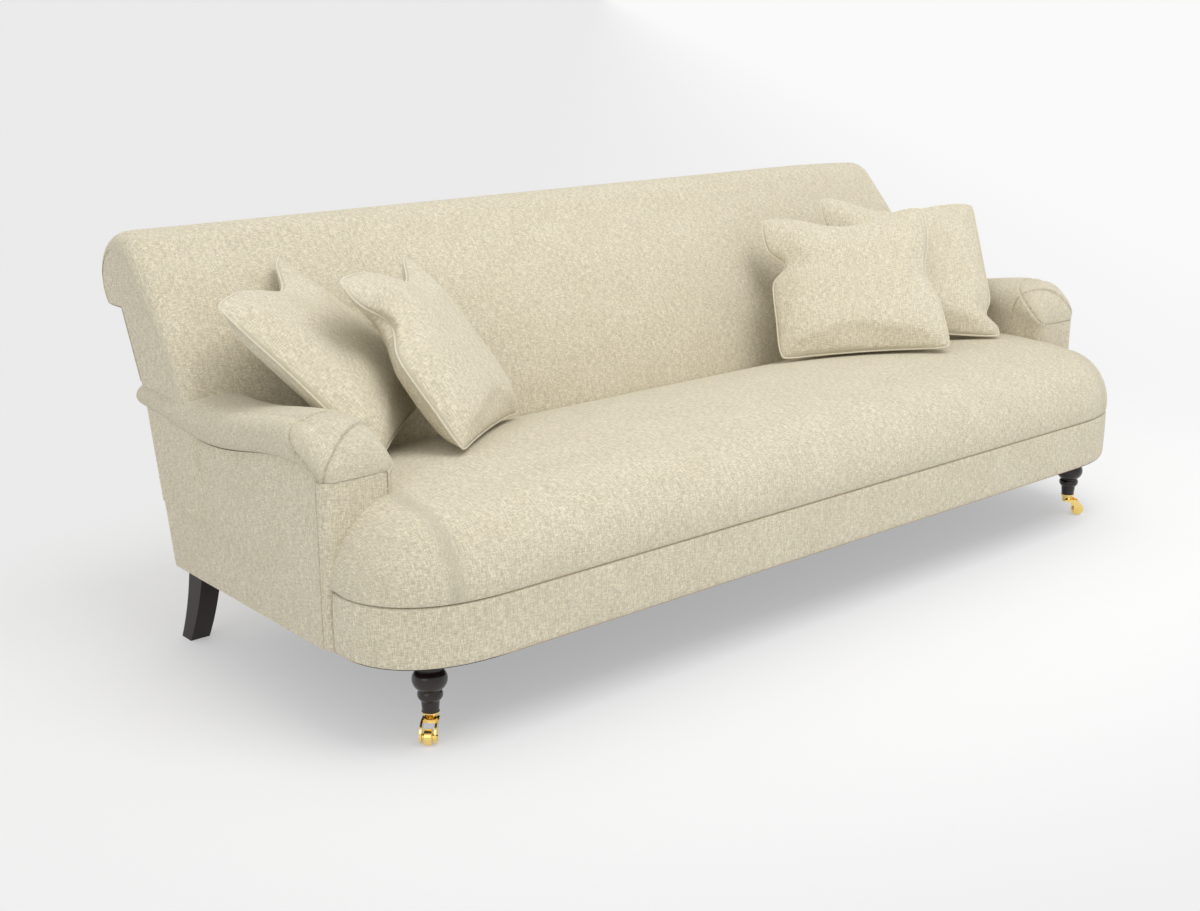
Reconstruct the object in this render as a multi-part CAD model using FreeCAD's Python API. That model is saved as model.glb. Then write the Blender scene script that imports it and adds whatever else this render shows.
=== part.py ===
import FreeCAD, Part
import math
import os

# English roll arm sofa, three and a half seats, with four scatter cushions.
# Millimetres. X runs along the sofa, Y from the front to the back, Z up.
# The origin is on the floor, under the middle of the sofa's overall box.

# Overall
overall_width = 2298.0
overall_depth = 1056.0
front_nose_y = -overall_depth / 2
roll_back_y = overall_depth / 2

# Cloth, padding and fits
cover_thickness = 3.0
cover_gap = 0.4
padding_gap = 0.9
joint_gap = 0.3
dust_cloth = 1.2
hessian = 1.0
webbing = 2.0

# Heights of the body
frame_bottom_z = 166.0
border_height = 117.0
spring_wire = 4.0
border_top_z = frame_bottom_z + border_height
rail_top_z = border_top_z - hessian - spring_wire

# Seat front with its rounded corners, seen from above
seat_nose_overhang = 8.0
border_set_in = 21.0
corner_radius_x = 256.0
corner_radius_y = 172.0
border_front_y = front_nose_y + seat_nose_overhang
border_half_width = overall_width / 2 - border_set_in

# Arms
arm_set_back = 206.0
arm_half_width = 82.0
arm_roll_overhang = 15.0
arm_front_z = 482.0
arm_top_front_z = 578.0
arm_dome_depth = 80.0
arm_dip_y = 130.0
arm_top_rear_z = 540.0
arm_crest_run = 89.0
arm_crest_z = 505.0
arm_seam_dip_z = 463.0
arm_seam_rear_z = 488.0
arm_seam_gap = 2.5
arm_rear_low_z = 484.0
arm_rear_overhang = 28.0
arm_rear_round = 30.0
arm_rear_lead = 24.0
arm_rear_draw = 4.0
arm_stations = 9
arm_front_round = 14.0
arm_front_fullness = 0.87
arm_rear_fullness = 0.95
arm_clear = 0.6
arm_swell = 2.2
arm_cover_rise = 17.0
facing_round = 2.5
arm_front_y = border_front_y + arm_set_back
arm_centre_x = overall_width / 2 - arm_half_width
arm_inner_x = arm_centre_x - arm_half_width
arm_panel_x = overall_width / 2 - arm_roll_overhang
arm_cover_bottom_z = border_top_z + arm_cover_rise

# Seat
seat_depth = 644.0
seat_rise = 150.0
seat_shoulder = 120.0
seat_nose_bulge = 8.0
seat_crown = 12.0
seat_crown_run = 220.0
seat_end_crown = 6.0
seat_rear_rise = 102.0
seat_stations = 6
seat_rear_y = border_front_y + seat_depth
seat_top_z = border_top_z + seat_rise

# Back
back_set_in = 10.0
back_foot_rise = 17.0
back_belly_rise = 102.0
back_belly_bulge = 22.0
back_end_round = 26.0
back_end_draw = 20.0
roll_radius = 82.0
roll_centre_z = 756.0
roll_start_angle = 133.0
neck_run = 70.0
neck_drop = 74.0
outside_back_rake = 152.0
outside_back_spread = 79.0
outside_back_kink_z = 520.0
outside_back_step = 78.0
outside_back_top_z = 683.0
back_half_width = overall_width / 2 - back_set_in
back_foot_z = border_top_z + back_foot_rise
back_front_y = seat_rear_y + 2 * cover_gap + cover_thickness
outside_back_top_y = roll_back_y - outside_back_step
outside_back_kink_y = roll_back_y - outside_back_rake
outside_back_bottom_y = outside_back_kink_y - outside_back_spread
arm_rear_y = outside_back_kink_y + arm_rear_overhang

# Timber
timber = 28.0
post_depth = 45.0
board_thickness = 22.0
arm_board_z = 436.0
arm_frame_set_in = 13.0
arm_frame_set_back = 12.0
cross_rail_drop = 30.0
leg_block_width = 90.0
leg_block_height = 60.0
back_rail_step = 2.0
back_rail_top_z = 690.0
top_rail_depth = 60.0
top_rail_height = 45.0
tack_rail_z = 340.0
tack_rail_height = 40.0

# Springs and webbing
spring_count = 11
spring_spacing = 160.0
spring_half_width = 24.0
spring_bends = 14
webbing_rows_z = (320.0, 380.0, 548.0, 610.0)
webbing_width = 50.0

# Turned front legs
front_leg_set_in = 128.0
front_leg_set_back = 96.0
front_leg_x = border_half_width - front_leg_set_in
front_leg_y = border_front_y + front_leg_set_back
leg_collar_radius = 27.0
leg_collar_z = 141.0
leg_shoulder_radius = 24.0
leg_shoulder_z = 136.0
leg_bulb_radius = 32.6
leg_bulb_z = 116.0
leg_neck_radius = 20.7
leg_neck_z = 98.0
leg_neck_height = 2.0
leg_ring_radius = 23.4
leg_ring_z = 86.0
leg_shaft_radius = 17.4
leg_shaft_z = 77.0
leg_foot_radius = 15.3
bolt_radius = 4.0
bolt_length = 70.0
bolt_in_leg = 25.0

# Swept rear legs
rear_leg_set_in = 4.5
rear_leg_set_forward = 95.0
rear_leg_kick = 74.0
rear_leg_width = 43.0
rear_leg_top_depth = 56.0
rear_leg_outer_x = border_half_width - rear_leg_set_in
rear_leg_top_y = outside_back_bottom_y - rear_leg_set_forward
rear_leg_foot_y = rear_leg_top_y + rear_leg_kick
rear_leg_foot_depth = 39.0
rear_leg_sweep = 7.0

# Castors
castor_trail = 27.0
castor_turn = -45.0
wheel_radius = 15.0
wheel_width = 15.0
wheel_edge = 1.6
hub_radius = 6.5
axle_radius = 3.0
axle_head_radius = 5.0
axle_head_height = 1.6
running_gap = 0.05
end_gap = 0.3
cup_rim_z = 55.0
cup_base_z = 42.0
cup_rim_radius = 16.5
cup_rim_height = 1.8
cup_base_radius = 12.0
cup_floor = 1.6
tenon_top_radius = 12.6
tenon_low_radius = 10.2
tenon_gap = 0.1
pin_radius = 4.0
pin_head_radius = 6.5
pin_head_height = 2.5
horn_plate_thickness = 5.5
horn_plate_radius = 12.5
horn_plate_rear = 8.0
horn_half_width = 15.5
horn_cheek_thickness = 4.0
horn_scroll_radius = 11.5

# Scatter cushions
front_cushion_size = 430.0
rear_cushion_size = 440.0
cushion_thickness = 112.0
cushion_corner = 26.0
cushion_draw = 14.0
cushion_cloth = 1.5
front_right_place = (arm_inner_x - 411.3, back_front_y - 164.9, seat_top_z + 171.8)
rear_right_place = (arm_inner_x - 171.8, back_front_y - 137.0, seat_top_z + 180.5)
front_left_place = (-arm_inner_x + 296.9, back_front_y - 142.1, seat_top_z + 176.7)
rear_left_place = (-arm_inner_x + 101.8, back_front_y - 59.0, seat_top_z + 177.7)
front_right_turn = (-41.6, 41.4, 4.7)
rear_right_turn = (-32.0, 45.0, -3.9)
front_left_turn = (39.9, 37.1, -4.3)
rear_left_turn = (40.6, 45.2, 3.8)

# Worked out from the sizes above
left_side = -1
right_side = 1
beyond = 100.0
cover_step = cover_thickness + cover_gap
straight_half = border_half_width - corner_radius_x
rail_out_x = border_half_width - cover_step
rail_in_x = rail_out_x - timber
rail_front_y = border_front_y + cover_step
arm_face_y = arm_front_y - cover_thickness
underside_z = frame_bottom_z - dust_cloth
bolt_bottom_z = frame_bottom_z - bolt_in_leg
horn_low_z = cup_base_z - end_gap - horn_plate_thickness
rear_bolt_x = rear_leg_outer_x - rear_leg_width / 2
rear_bolt_y = rear_leg_top_y + rear_leg_top_depth / 2


def vec(x, y, z):
    return FreeCAD.Vector(x, y, z)


def line(a, b):
    return Part.LineSegment(a, b).toShape()


def arc(a, middle, b):
    return Part.Arc(a, middle, b).toShape()


def face_of(edges):
    return Part.Face(Part.Wire(edges))


def polygon(points):
    return Part.Face(Part.makePolygon(points + [points[0]]))


def box(x0, x1, y0, y1, z0, z1):
    return Part.makeBox(x1 - x0, y1 - y0, z1 - z0, vec(x0, y0, z0))


def mirrored(shape):
    return shape.mirror(vec(0, 0, 0), vec(1, 0, 0))


def save(shape, name):
    shape.exportStep("parts/" + name + ".step")


def save_pair(shape, name):
    """The right piece as drawn, and the left one as its mirror image."""
    save(shape, name + "_right")
    save(mirrored(shape), name + "_left")


# Plan of the seat front


def plan_face(inset, rear_y):
    """The front of the sofa seen from above, with an elliptical corner at each end."""
    half = border_half_width - inset
    front = border_front_y + inset
    across = corner_radius_x - inset
    along = corner_radius_y - inset
    centre_x = half - across
    centre_y = front + along
    right = Part.Ellipse(vec(centre_x, centre_y, 0), across, along)
    left = Part.Ellipse(vec(-centre_x, centre_y, 0), across, along)
    edges = [
        line(vec(-half, rear_y, 0), vec(-half, centre_y, 0)),
        Part.ArcOfEllipse(left, math.pi, 1.5 * math.pi).toShape(),
        line(vec(-centre_x, front, 0), vec(centre_x, front, 0)),
        Part.ArcOfEllipse(right, -0.5 * math.pi, 0).toShape(),
        line(vec(half, centre_y, 0), vec(half, rear_y, 0)),
        line(vec(half, rear_y, 0), vec(-half, rear_y, 0)),
    ]
    return face_of(edges)


def plan_prism(inset, rear_y, z0, z1):
    prism = plan_face(inset, rear_y).extrude(vec(0, 0, z1 - z0))
    prism.translate(vec(0, 0, z0))
    return prism


def plan_front_y(x, inset):
    """How far forward the plan reaches at a place along the sofa."""
    across = corner_radius_x - inset
    along = corner_radius_y - inset
    past = abs(x) - (border_half_width - corner_radius_x)
    centre_y = border_front_y + corner_radius_y
    if past <= 0:
        return centre_y - along
    return centre_y - along * math.sqrt(max(0.0, 1 - (past / across) ** 2))


# Profile of the back, seen from the end


def outside_back_y(z):
    """The raked outside back, with its kink a little above the arms."""
    if z < outside_back_kink_z:
        share = (z - frame_bottom_z) / (outside_back_kink_z - frame_bottom_z)
        return outside_back_bottom_y + share * (outside_back_kink_y - outside_back_bottom_y)
    share = (z - outside_back_kink_z) / (outside_back_top_z - outside_back_kink_z)
    return outside_back_kink_y + share * (outside_back_top_y - outside_back_kink_y)


def back_profile(round_in, inward, rear_in):
    """The back's section: leaning inside face with its belly, roll, and outside face.

    round_in draws the front and the top in where the cover turns over the ends,
    inward shrinks all that the inside cover wraps, and rear_in the outside face.
    """
    foot_y = back_front_y + round_in + inward
    radius = roll_radius - 0.41 * round_in - inward
    centre_y = roll_back_y - roll_radius + 0.41 * round_in
    centre_z = roll_centre_z - 0.73 * round_in
    under_z = outside_back_top_z + inward
    end_angle = -math.degrees(math.asin((centre_z - under_z) / radius))

    def on_roll(angle):
        turn = math.radians(angle)
        return vec(0, centre_y + radius * math.cos(turn), centre_z + radius * math.sin(turn))

    roll_start = on_roll(roll_start_angle)
    roll_over = on_roll(0.5 * (roll_start_angle + end_angle))
    roll_end = on_roll(end_angle)
    neck = vec(0, roll_start.y - neck_run, roll_start.z - neck_drop)
    foot = vec(0, foot_y, back_foot_z)
    belly = vec(0, foot_y, border_top_z + back_belly_rise)
    chord = neck - belly
    out = vec(0, -chord.z, chord.y).normalize()
    belly_middle = belly + chord * 0.5 + out * back_belly_bulge
    under = vec(0, outside_back_y(roll_end.z) - rear_in, roll_end.z)
    kink = vec(0, outside_back_y(outside_back_kink_z) - rear_in, outside_back_kink_z)
    heel = vec(0, outside_back_y(back_foot_z) - rear_in, back_foot_z)
    quarter = on_roll(0.75 * roll_start_angle + 0.25 * end_angle)
    three_quarter = on_roll(0.25 * roll_start_angle + 0.75 * end_angle)
    return [
        line(foot, belly),
        arc(belly, belly_middle, neck),
        line(neck, roll_start),
        arc(roll_start, quarter, roll_over),
        arc(roll_over, three_quarter, roll_end),
        line(roll_end, under),
        line(under, kink),
        line(kink, heel),
        line(heel, foot),
    ]


def back_wire(x, round_in, inward, rear_in):
    wire = Part.Wire(back_profile(round_in, inward, rear_in))
    wire.translate(vec(x, 0, 0))
    return wire


def back_body(past, inward, rear_in):
    """The whole back between its two ends, with the front and top rounded over there.

    past carries the end sections on beyond the ends, for cutting the room inside.
    """
    flat = back_half_width - back_end_round
    steps = []
    for share in (0.0, 0.46, 0.81, 1.0):
        steps.append((flat + share * back_end_round, back_end_draw * (1 - math.sqrt(1 - share ** 2))))
    if past:
        steps.append((back_half_width + past, back_end_draw))
    wires = [back_wire(-x, r, inward, rear_in) for x, r in reversed(steps)]
    wires += [back_wire(x, r, inward, rear_in) for x, r in steps]
    return Part.makeLoft(wires, True, True)


# Arms, drawn for the right end


def smooth_between(place, start, end, low, high):
    """A height that eases from low at start to high at end."""
    share = min(1.0, max(0.0, (place - start) / (end - start)))
    return low + share * share * (3 - 2 * share) * (high - low)


def arm_seam_z(y):
    """Height of the seam under the roll, which crests behind the front and dips again."""
    crest_y = arm_front_y + arm_crest_run
    if y < crest_y:
        return smooth_between(y, arm_front_y, crest_y, arm_front_z, arm_crest_z)
    if y < arm_dip_y:
        return smooth_between(y, crest_y, arm_dip_y, arm_crest_z, arm_seam_dip_z)
    return smooth_between(y, arm_dip_y, arm_rear_y, arm_seam_dip_z, arm_seam_rear_z)


def arm_top_z(y):
    """Height of the roll's top: domed at the front, dipping, then level to the rear."""
    dome_y = arm_front_y + arm_dome_depth
    top = smooth_between(y, dome_y, arm_dip_y, arm_top_front_z, arm_top_rear_z)
    if y < dome_y:
        reach = (dome_y - y) / arm_dome_depth
        top = arm_front_z + (top - arm_front_z) * math.sqrt(max(0.0, 1 - reach * reach))
    return top


def arm_wire(y, inward, side_in, height_share, bottom_z):
    """One cross-section of the arm: panel plane, roll over the top, inner face."""
    seam = arm_seam_z(y)
    top = arm_top_z(y) - inward
    top = seam + (top - seam) * height_share
    rise = top - seam
    width = arm_half_width - inward - side_in
    along = min(1.0, max(0.0, (y - arm_front_y) / (arm_dip_y - arm_front_y)))
    fullness = arm_front_fullness + along * (arm_rear_fullness - arm_front_fullness)
    panel = arm_panel_x - cover_step - inward - side_in
    centre = arm_centre_x
    p0 = vec(panel, y, bottom_z)
    p1 = vec(panel, y, seam)
    p2 = vec(centre + width, y, seam + 0.45 * rise)
    p3 = vec(centre + 0.5 * width, y, seam + fullness * rise)
    p4 = vec(centre, y, top)
    p5 = vec(centre - 0.5 * width, y, seam + fullness * rise)
    p6 = vec(centre - 0.92 * width, y, seam + 0.5 * rise)
    p7 = vec(centre - width, y, seam)
    p8 = vec(centre - width, y, bottom_z)
    sides = [line(p7, p8), line(p8, p0), line(p0, p1)]
    return Part.Wire([arc(p1, p2, p3), arc(p3, p4, p5), arc(p5, p6, p7)] + sides)


def arm_places(inward):
    """Sections along the arm: place, how far the sides draw in, and share of the height."""
    front = arm_front_y + inward + joint_gap
    rear = arm_rear_y - inward
    dome_y = arm_front_y + arm_dome_depth
    run = rear - arm_rear_round - dome_y
    places = []
    for share in (0.0, 0.12, 0.42, 0.75):
        drawn = arm_front_round * (1 - math.sqrt(share)) ** 2
        places.append((front + share * (dome_y - front), drawn, 1.0))
    places += [(dome_y + run * i / arm_stations, 0.0, 1.0) for i in range(arm_stations + 1)]
    places.insert(-1, (rear - arm_rear_round - arm_rear_lead, 0.0, 1.0))
    places.append((rear - arm_rear_round / 3, arm_rear_draw / 4, 0.94))
    places.append((rear, arm_rear_draw, 0.78))
    return places


def arm_body(inward, bottom_z):
    """The padded arm with its domed front end and rounded rear end."""
    wires = [arm_wire(y, inward, side, share, bottom_z) for y, side, share in arm_places(inward)]
    return Part.makeLoft(wires, True, False)


def behind_outside_back(top_z):
    """All that lies behind the inner face of the outside back, below a height."""
    half = overall_width / 2 + beyond
    points = [
        vec(-half, outside_back_y(beyond) - cover_step, beyond),
        vec(-half, outside_back_y(top_z) - cover_step, top_z),
        vec(-half, roll_back_y + beyond, top_z),
        vec(-half, roll_back_y + beyond, beyond),
    ]
    return polygon(points).extrude(vec(2 * half, 0, 0))


def arm_zone(gap):
    """The room that the arms stand in, beside the main seat and behind its front ends."""
    right = box(arm_inner_x - gap, overall_width, arm_face_y - gap, overall_depth, 0, overall_depth)
    return right.fuse(mirrored(right))


def over_arm_ends():
    """The room below the ends of the back, which stand on the arms."""
    top = arm_top_rear_z + arm_clear
    right = box(arm_inner_x - arm_swell, overall_width, arm_front_y, overall_depth, 0, top)
    return right.fuse(mirrored(right))


def post_slot():
    """Where a raked post comes up through the rear of the arm."""
    return post_shape(rail_in_x - cover_gap, rail_out_x + cover_gap, arm_cover_bottom_z, back_rail_top_z, -cover_gap)


# Timber frame


def post_front_y(z):
    """Front face of the raked rear posts."""
    return outside_back_y(z) - cover_step - post_depth


def post_shape(x0, x1, z0, z1, inset):
    """A raked and kinked post, sawn from one board."""
    points = []
    for z in (z0, outside_back_kink_z, z1):
        points.append(vec(x0, outside_back_y(z) - cover_step - inset, z))
    for z in (z1, outside_back_kink_z, z0):
        points.append(vec(x0, post_front_y(z) + inset, z))
    return polygon(points).extrude(vec(x1 - x0, 0, 0))


def bolt_hole(x, y):
    return Part.makeCylinder(bolt_radius, bolt_length, vec(x, y, bolt_bottom_z))


def make_seat_frame():
    """Rails of the seat: straight front, two curved corners, sides, back and cross rails."""
    back_rail_y = post_front_y(frame_bottom_z) + back_rail_step
    save(box(-straight_half, straight_half, rail_front_y, rail_front_y + timber, frame_bottom_z, rail_top_z),
         "front_rail")
    ring = plan_prism(cover_step, arm_face_y, frame_bottom_z, rail_top_z)
    ring = ring.cut(plan_prism(cover_step + timber, arm_face_y + 1, frame_bottom_z - 1, rail_top_z + 1))
    corner = ring.common(box(straight_half, border_half_width, front_nose_y, arm_face_y, 0, border_top_z))
    save_pair(corner, "front_corner_block")
    side = box(rail_in_x, rail_out_x, arm_front_y, post_front_y(frame_bottom_z), frame_bottom_z, rail_top_z)
    save_pair(side.cut(bolt_hole(rear_bolt_x, rear_bolt_y)), "side_rail")
    save(box(-rail_in_x, rail_in_x, back_rail_y, back_rail_y + timber, frame_bottom_z, rail_top_z), "back_rail")
    rails = []
    for side in (left_side, right_side):
        x = side * straight_half / 3 - timber / 2
        rails.append(box(x, x + timber, rail_front_y + timber, back_rail_y, frame_bottom_z,
                         rail_top_z - cross_rail_drop))
    save(Part.makeCompound(rails), "seat_cross_rails")


def make_leg_blocks():
    """Four glued blocks in the corners: the front ones take the front legs' bolts."""
    top = frame_bottom_z + leg_block_height
    front = plan_prism(cover_step + timber, arm_face_y, frame_bottom_z, top)
    front = front.common(box(front_leg_x - leg_block_width / 2, overall_width, front_nose_y,
                             front_leg_y + leg_block_width / 2, 0, border_top_z))
    front = front.cut(bolt_hole(front_leg_x, front_leg_y))
    rear_y = post_front_y(frame_bottom_z) + back_rail_step
    rear = box(rail_in_x - leg_block_width, rail_in_x, rear_leg_top_y, rear_y, frame_bottom_z, top)
    save(Part.makeCompound([front, rear, mirrored(front), mirrored(rear)]), "leg_blocks")


def make_back_frame():
    """Raked posts at the ends and the middle, with the top rail inside the roll."""
    top = back_rail_top_z
    save_pair(post_shape(rail_in_x, rail_out_x, frame_bottom_z, top, 0), "back_post")
    save(post_shape(-timber / 2, timber / 2, tack_rail_z, top, 0), "back_centre_post")
    rear = outside_back_y(top) - cover_step
    save(box(-rail_out_x, rail_out_x, rear - top_rail_depth, rear, top, top + top_rail_height), "back_top_rail")
    front = post_front_y(tack_rail_z)
    save(box(-rail_in_x, rail_in_x, front, front + timber, tack_rail_z - tack_rail_height, tack_rail_z),
         "back_tack_rail")


def make_arm_frame():
    """Front stump and arm board, which carry the padded roll."""
    inner_x = arm_inner_x + arm_frame_set_in
    outer_x = rail_out_x - arm_frame_set_in
    front = arm_front_y + arm_frame_set_back
    save_pair(box(inner_x, outer_x, front, front + timber, rail_top_z, arm_board_z), "arm_stump")
    rear = post_front_y(arm_board_z)
    save_pair(box(inner_x, outer_x, front, rear, arm_board_z, arm_board_z + board_thickness), "arm_board")


# Springs, webbing and platform


def zigzag_spring(x):
    """One flat zigzag spring from the front rail to the back rail, hooked on top of both."""
    start = rail_front_y + timber / 2
    pitch = (post_front_y(frame_bottom_z) + back_rail_step + timber / 2 - start) / spring_bends
    half = spring_wire / 2
    low = rail_top_z
    high = rail_top_z + spring_wire
    bars = []
    for bend in range(spring_bends + 1):
        y = start + bend * pitch
        bars.append(box(x - spring_half_width, x + spring_half_width, y - half, y + half, low, high))
        if bend < spring_bends:
            turn = x + spring_half_width * (1 if bend % 2 else -1)
            bars.append(box(turn - half, turn + half, y - half, y + pitch + half, low, high))
    return bars[0].multiFuse(bars[1:]).removeSplitter()


def make_seat_support():
    """Zigzag springs front to back, with the hessian platform stretched over them."""
    springs = []
    for row in range(spring_count):
        springs.append(zigzag_spring((row - (spring_count - 1) / 2) * spring_spacing))
    save(Part.makeCompound(springs), "seat_springs")
    low = rail_top_z + spring_wire
    sheet = plan_prism(cover_step, seat_rear_y, low, low + hessian)
    save(sheet.cut(arm_zone(joint_gap)), "seat_platform")


def make_back_webbing():
    """Rows of webbing stretched across the front of the posts."""
    straps = []
    for low in webbing_rows_z:
        high = low + webbing_width
        points = [
            vec(-rail_out_x, post_front_y(low) - webbing, low),
            vec(-rail_out_x, post_front_y(low), low),
            vec(-rail_out_x, post_front_y(high), high),
            vec(-rail_out_x, post_front_y(high) - webbing, high),
        ]
        straps.append(polygon(points).extrude(vec(2 * rail_out_x, 0, 0)))
    save(Part.makeCompound(straps), "back_webbing")


# Seat


def seat_wire(x, inward):
    """One section of the seat from front to back: nose, crowned top and rear edge."""
    half = border_half_width - inward
    end_in = min(1.0, (half - abs(x)) / seat_shoulder)
    share = math.sqrt(1 - (1 - end_in) ** 2)
    middle = max(0.0, 1 - (x / half) ** 2)
    front = plan_front_y(x, inward)
    rear = seat_rear_y - inward
    base = border_top_z
    rise = (seat_rise - inward) * share + seat_end_crown * middle
    rear_rise = (seat_rear_rise - inward) * share
    slope = math.sqrt(0.5)
    p0 = vec(x, front, base)
    p1 = vec(x, front + seat_shoulder * (1 - slope) - seat_nose_bulge * share, base + rise * slope)
    p2 = vec(x, front + seat_shoulder, base + rise)
    p3 = vec(x, front + seat_shoulder + seat_crown_run, base + rise + seat_crown * share)
    p4 = vec(x, rear, base + rear_rise)
    p5 = vec(x, rear, base)
    return Part.Wire([arc(p0, p1, p2), arc(p2, p3, p4), line(p4, p5), line(p5, p0)])


def seat_body(inward):
    half = border_half_width - inward
    places = [half - share * seat_shoulder for share in (0.03, 0.12, 0.32, 0.64, 1.0, 1.5)]
    places += [straight_half * (seat_stations - i) / seat_stations for i in range(seat_stations)]
    wires = [seat_wire(-x, inward) for x in places]
    wires.append(seat_wire(0, inward))
    wires += [seat_wire(x, inward) for x in reversed(places)]
    return Part.makeLoft(wires, True, False)


def make_seat():
    """The fixed seat: its cover, open below, and the padding under it."""
    room = seat_body(cover_thickness)
    cover = seat_body(0.0).cut(room).cut(arm_zone(joint_gap))
    save(cover, "seat_cover")
    padding = seat_body(cover_thickness + padding_gap).cut(arm_zone(cover_thickness + padding_gap))
    save(padding, "seat_padding")


def make_border():
    """The stitched band round the seat front, and the dust cloth under the frame."""
    outer = plan_prism(0, arm_face_y, underside_z, border_top_z - joint_gap)
    inner = plan_prism(cover_thickness, arm_face_y + 1, underside_z - 1, border_top_z)
    save(outer.cut(inner), "border_cover")
    cloth = plan_prism(cover_step, post_front_y(frame_bottom_z), underside_z, frame_bottom_z)
    for x in (front_leg_x, -front_leg_x):
        hole = Part.makeCylinder(leg_collar_radius + 1, 4 * dust_cloth, vec(x, front_leg_y, underside_z - dust_cloth))
        cloth = cloth.cut(hole)
    legs = box(rear_leg_outer_x - rear_leg_width - 1, overall_width, rear_leg_top_y - 1, overall_depth,
               0, border_top_z)
    save(cloth.cut(legs).cut(mirrored(legs)), "dust_cover")


# Arm coverings


def pull_through():
    """The opening where the arm's inside cover is pulled through to the rear posts."""
    top = arm_rear_low_z - board_thickness
    points = []
    for z in (border_top_z, top):
        points.append(vec(arm_inner_x - 1, post_front_y(z) - webbing - joint_gap, z))
    points.append(vec(arm_inner_x - 1, overall_depth, top))
    points.append(vec(arm_inner_x - 1, overall_depth, border_top_z))
    return polygon(points).extrude(vec(rail_in_x - arm_inner_x, 0, 0))


def make_arms():
    """Roll covers with their padding, plain facings below them, and outside panels."""
    cover = arm_body(0.0, arm_cover_bottom_z).cut(arm_body(cover_thickness, arm_cover_bottom_z - 1))
    cover = cover.cut(behind_outside_back(arm_rear_low_z)).cut(post_slot()).cut(pull_through())
    save_pair(cover, "arm_cover")
    padding = arm_body(cover_thickness + padding_gap, arm_board_z + board_thickness)
    padding = padding.cut(post_slot()).cut(behind_outside_back(arm_rear_low_z))
    save_pair(padding, "arm_padding")
    facing = box(arm_inner_x, arm_panel_x, arm_face_y, arm_front_y, frame_bottom_z, arm_front_z)
    edges = [e for e in facing.Edges if e.Length > border_height and e.BoundBox.XMin > arm_centre_x
             and e.BoundBox.YMax < arm_front_y - 1]
    save_pair(facing.makeFillet(facing_round, edges), "arm_facing")
    inner = arm_panel_x - cover_thickness
    rear = outside_back_y(arm_rear_low_z)
    points = [vec(inner, arm_front_y, underside_z), vec(inner, arm_front_y, arm_front_z - arm_seam_gap)]
    for y, _, _ in arm_places(0.0):
        if arm_front_y + joint_gap < y < rear:
            points.append(vec(inner, y, arm_seam_z(y) - arm_seam_gap))
    points.append(vec(inner, rear, arm_rear_low_z - arm_seam_gap))
    points.append(vec(inner, outside_back_y(underside_z), underside_z))
    save_pair(polygon(points).extrude(vec(cover_thickness, 0, 0)), "outside_arm_cover")


# Back coverings


def make_back():
    """Inside cover with its roll, padding, end panels and the plain outside back."""
    ends = over_arm_ends()
    cover = back_body(0.0, 0.0, 0.0).cut(back_body(1.0, cover_thickness, -joint_gap)).cut(ends)
    foot = box(-overall_width, overall_width, back_front_y + cover_thickness, overall_depth, 0,
               back_foot_z + cover_thickness)
    save(cover.cut(foot), "inside_back_cover")
    end_box = box(back_half_width - cover_thickness, back_half_width, 0, overall_depth, arm_top_rear_z, overall_depth)
    save_pair(back_body(0.0, cover_step, cover_step).common(end_box).cut(ends), "back_end_panel")
    half = back_half_width - back_end_round
    padding = Part.Face(back_wire(-half, 0.0, cover_thickness + padding_gap,
                                  cover_step + post_depth + webbing + joint_gap))
    padding = padding.extrude(vec(2 * half, 0, 0))
    rear = outside_back_y(back_rail_top_z) - cover_step
    rail_room = box(-overall_width, overall_width, rear - top_rail_depth - joint_gap, overall_depth,
                    outside_back_top_z - board_thickness, back_rail_top_z + top_rail_height + joint_gap)
    save(padding.cut(rail_room).cut(ends), "back_padding")
    make_outside_back()


def make_outside_back():
    """A flat cloth panel down the raked rear, let in between the arms' ends."""
    heights = (underside_z, outside_back_kink_z, outside_back_top_z - joint_gap)
    points = [vec(-back_half_width, outside_back_y(z), z) for z in heights]
    points += [vec(-back_half_width, outside_back_y(z) - cover_thickness, z) for z in reversed(heights)]
    sheet = polygon(points).extrude(vec(2 * back_half_width, 0, 0))
    side = box(arm_panel_x - cover_thickness, overall_width, 0, overall_depth, 0, arm_rear_low_z)
    roll = box(arm_inner_x - joint_gap, overall_width, 0, overall_depth, arm_rear_low_z, arm_top_rear_z + arm_clear)
    for room in (side, roll, mirrored(side), mirrored(roll)):
        sheet = sheet.cut(room)
    save(sheet, "outside_back_cover")


# Legs


def revolved(outline, x, y):
    """A turned piece: its half outline of radius and height, spun about an upright axis."""
    edges = []
    for start, middle, end in outline:
        a = vec(start[0], 0, start[1])
        b = vec(end[0], 0, end[1])
        edges.append(arc(a, vec(middle[0], 0, middle[1]), b) if middle else line(a, b))
    body = face_of(edges).revolve(vec(0, 0, 0), vec(0, 0, 1), 360)
    body.translate(vec(x, y, 0))
    return body


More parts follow.
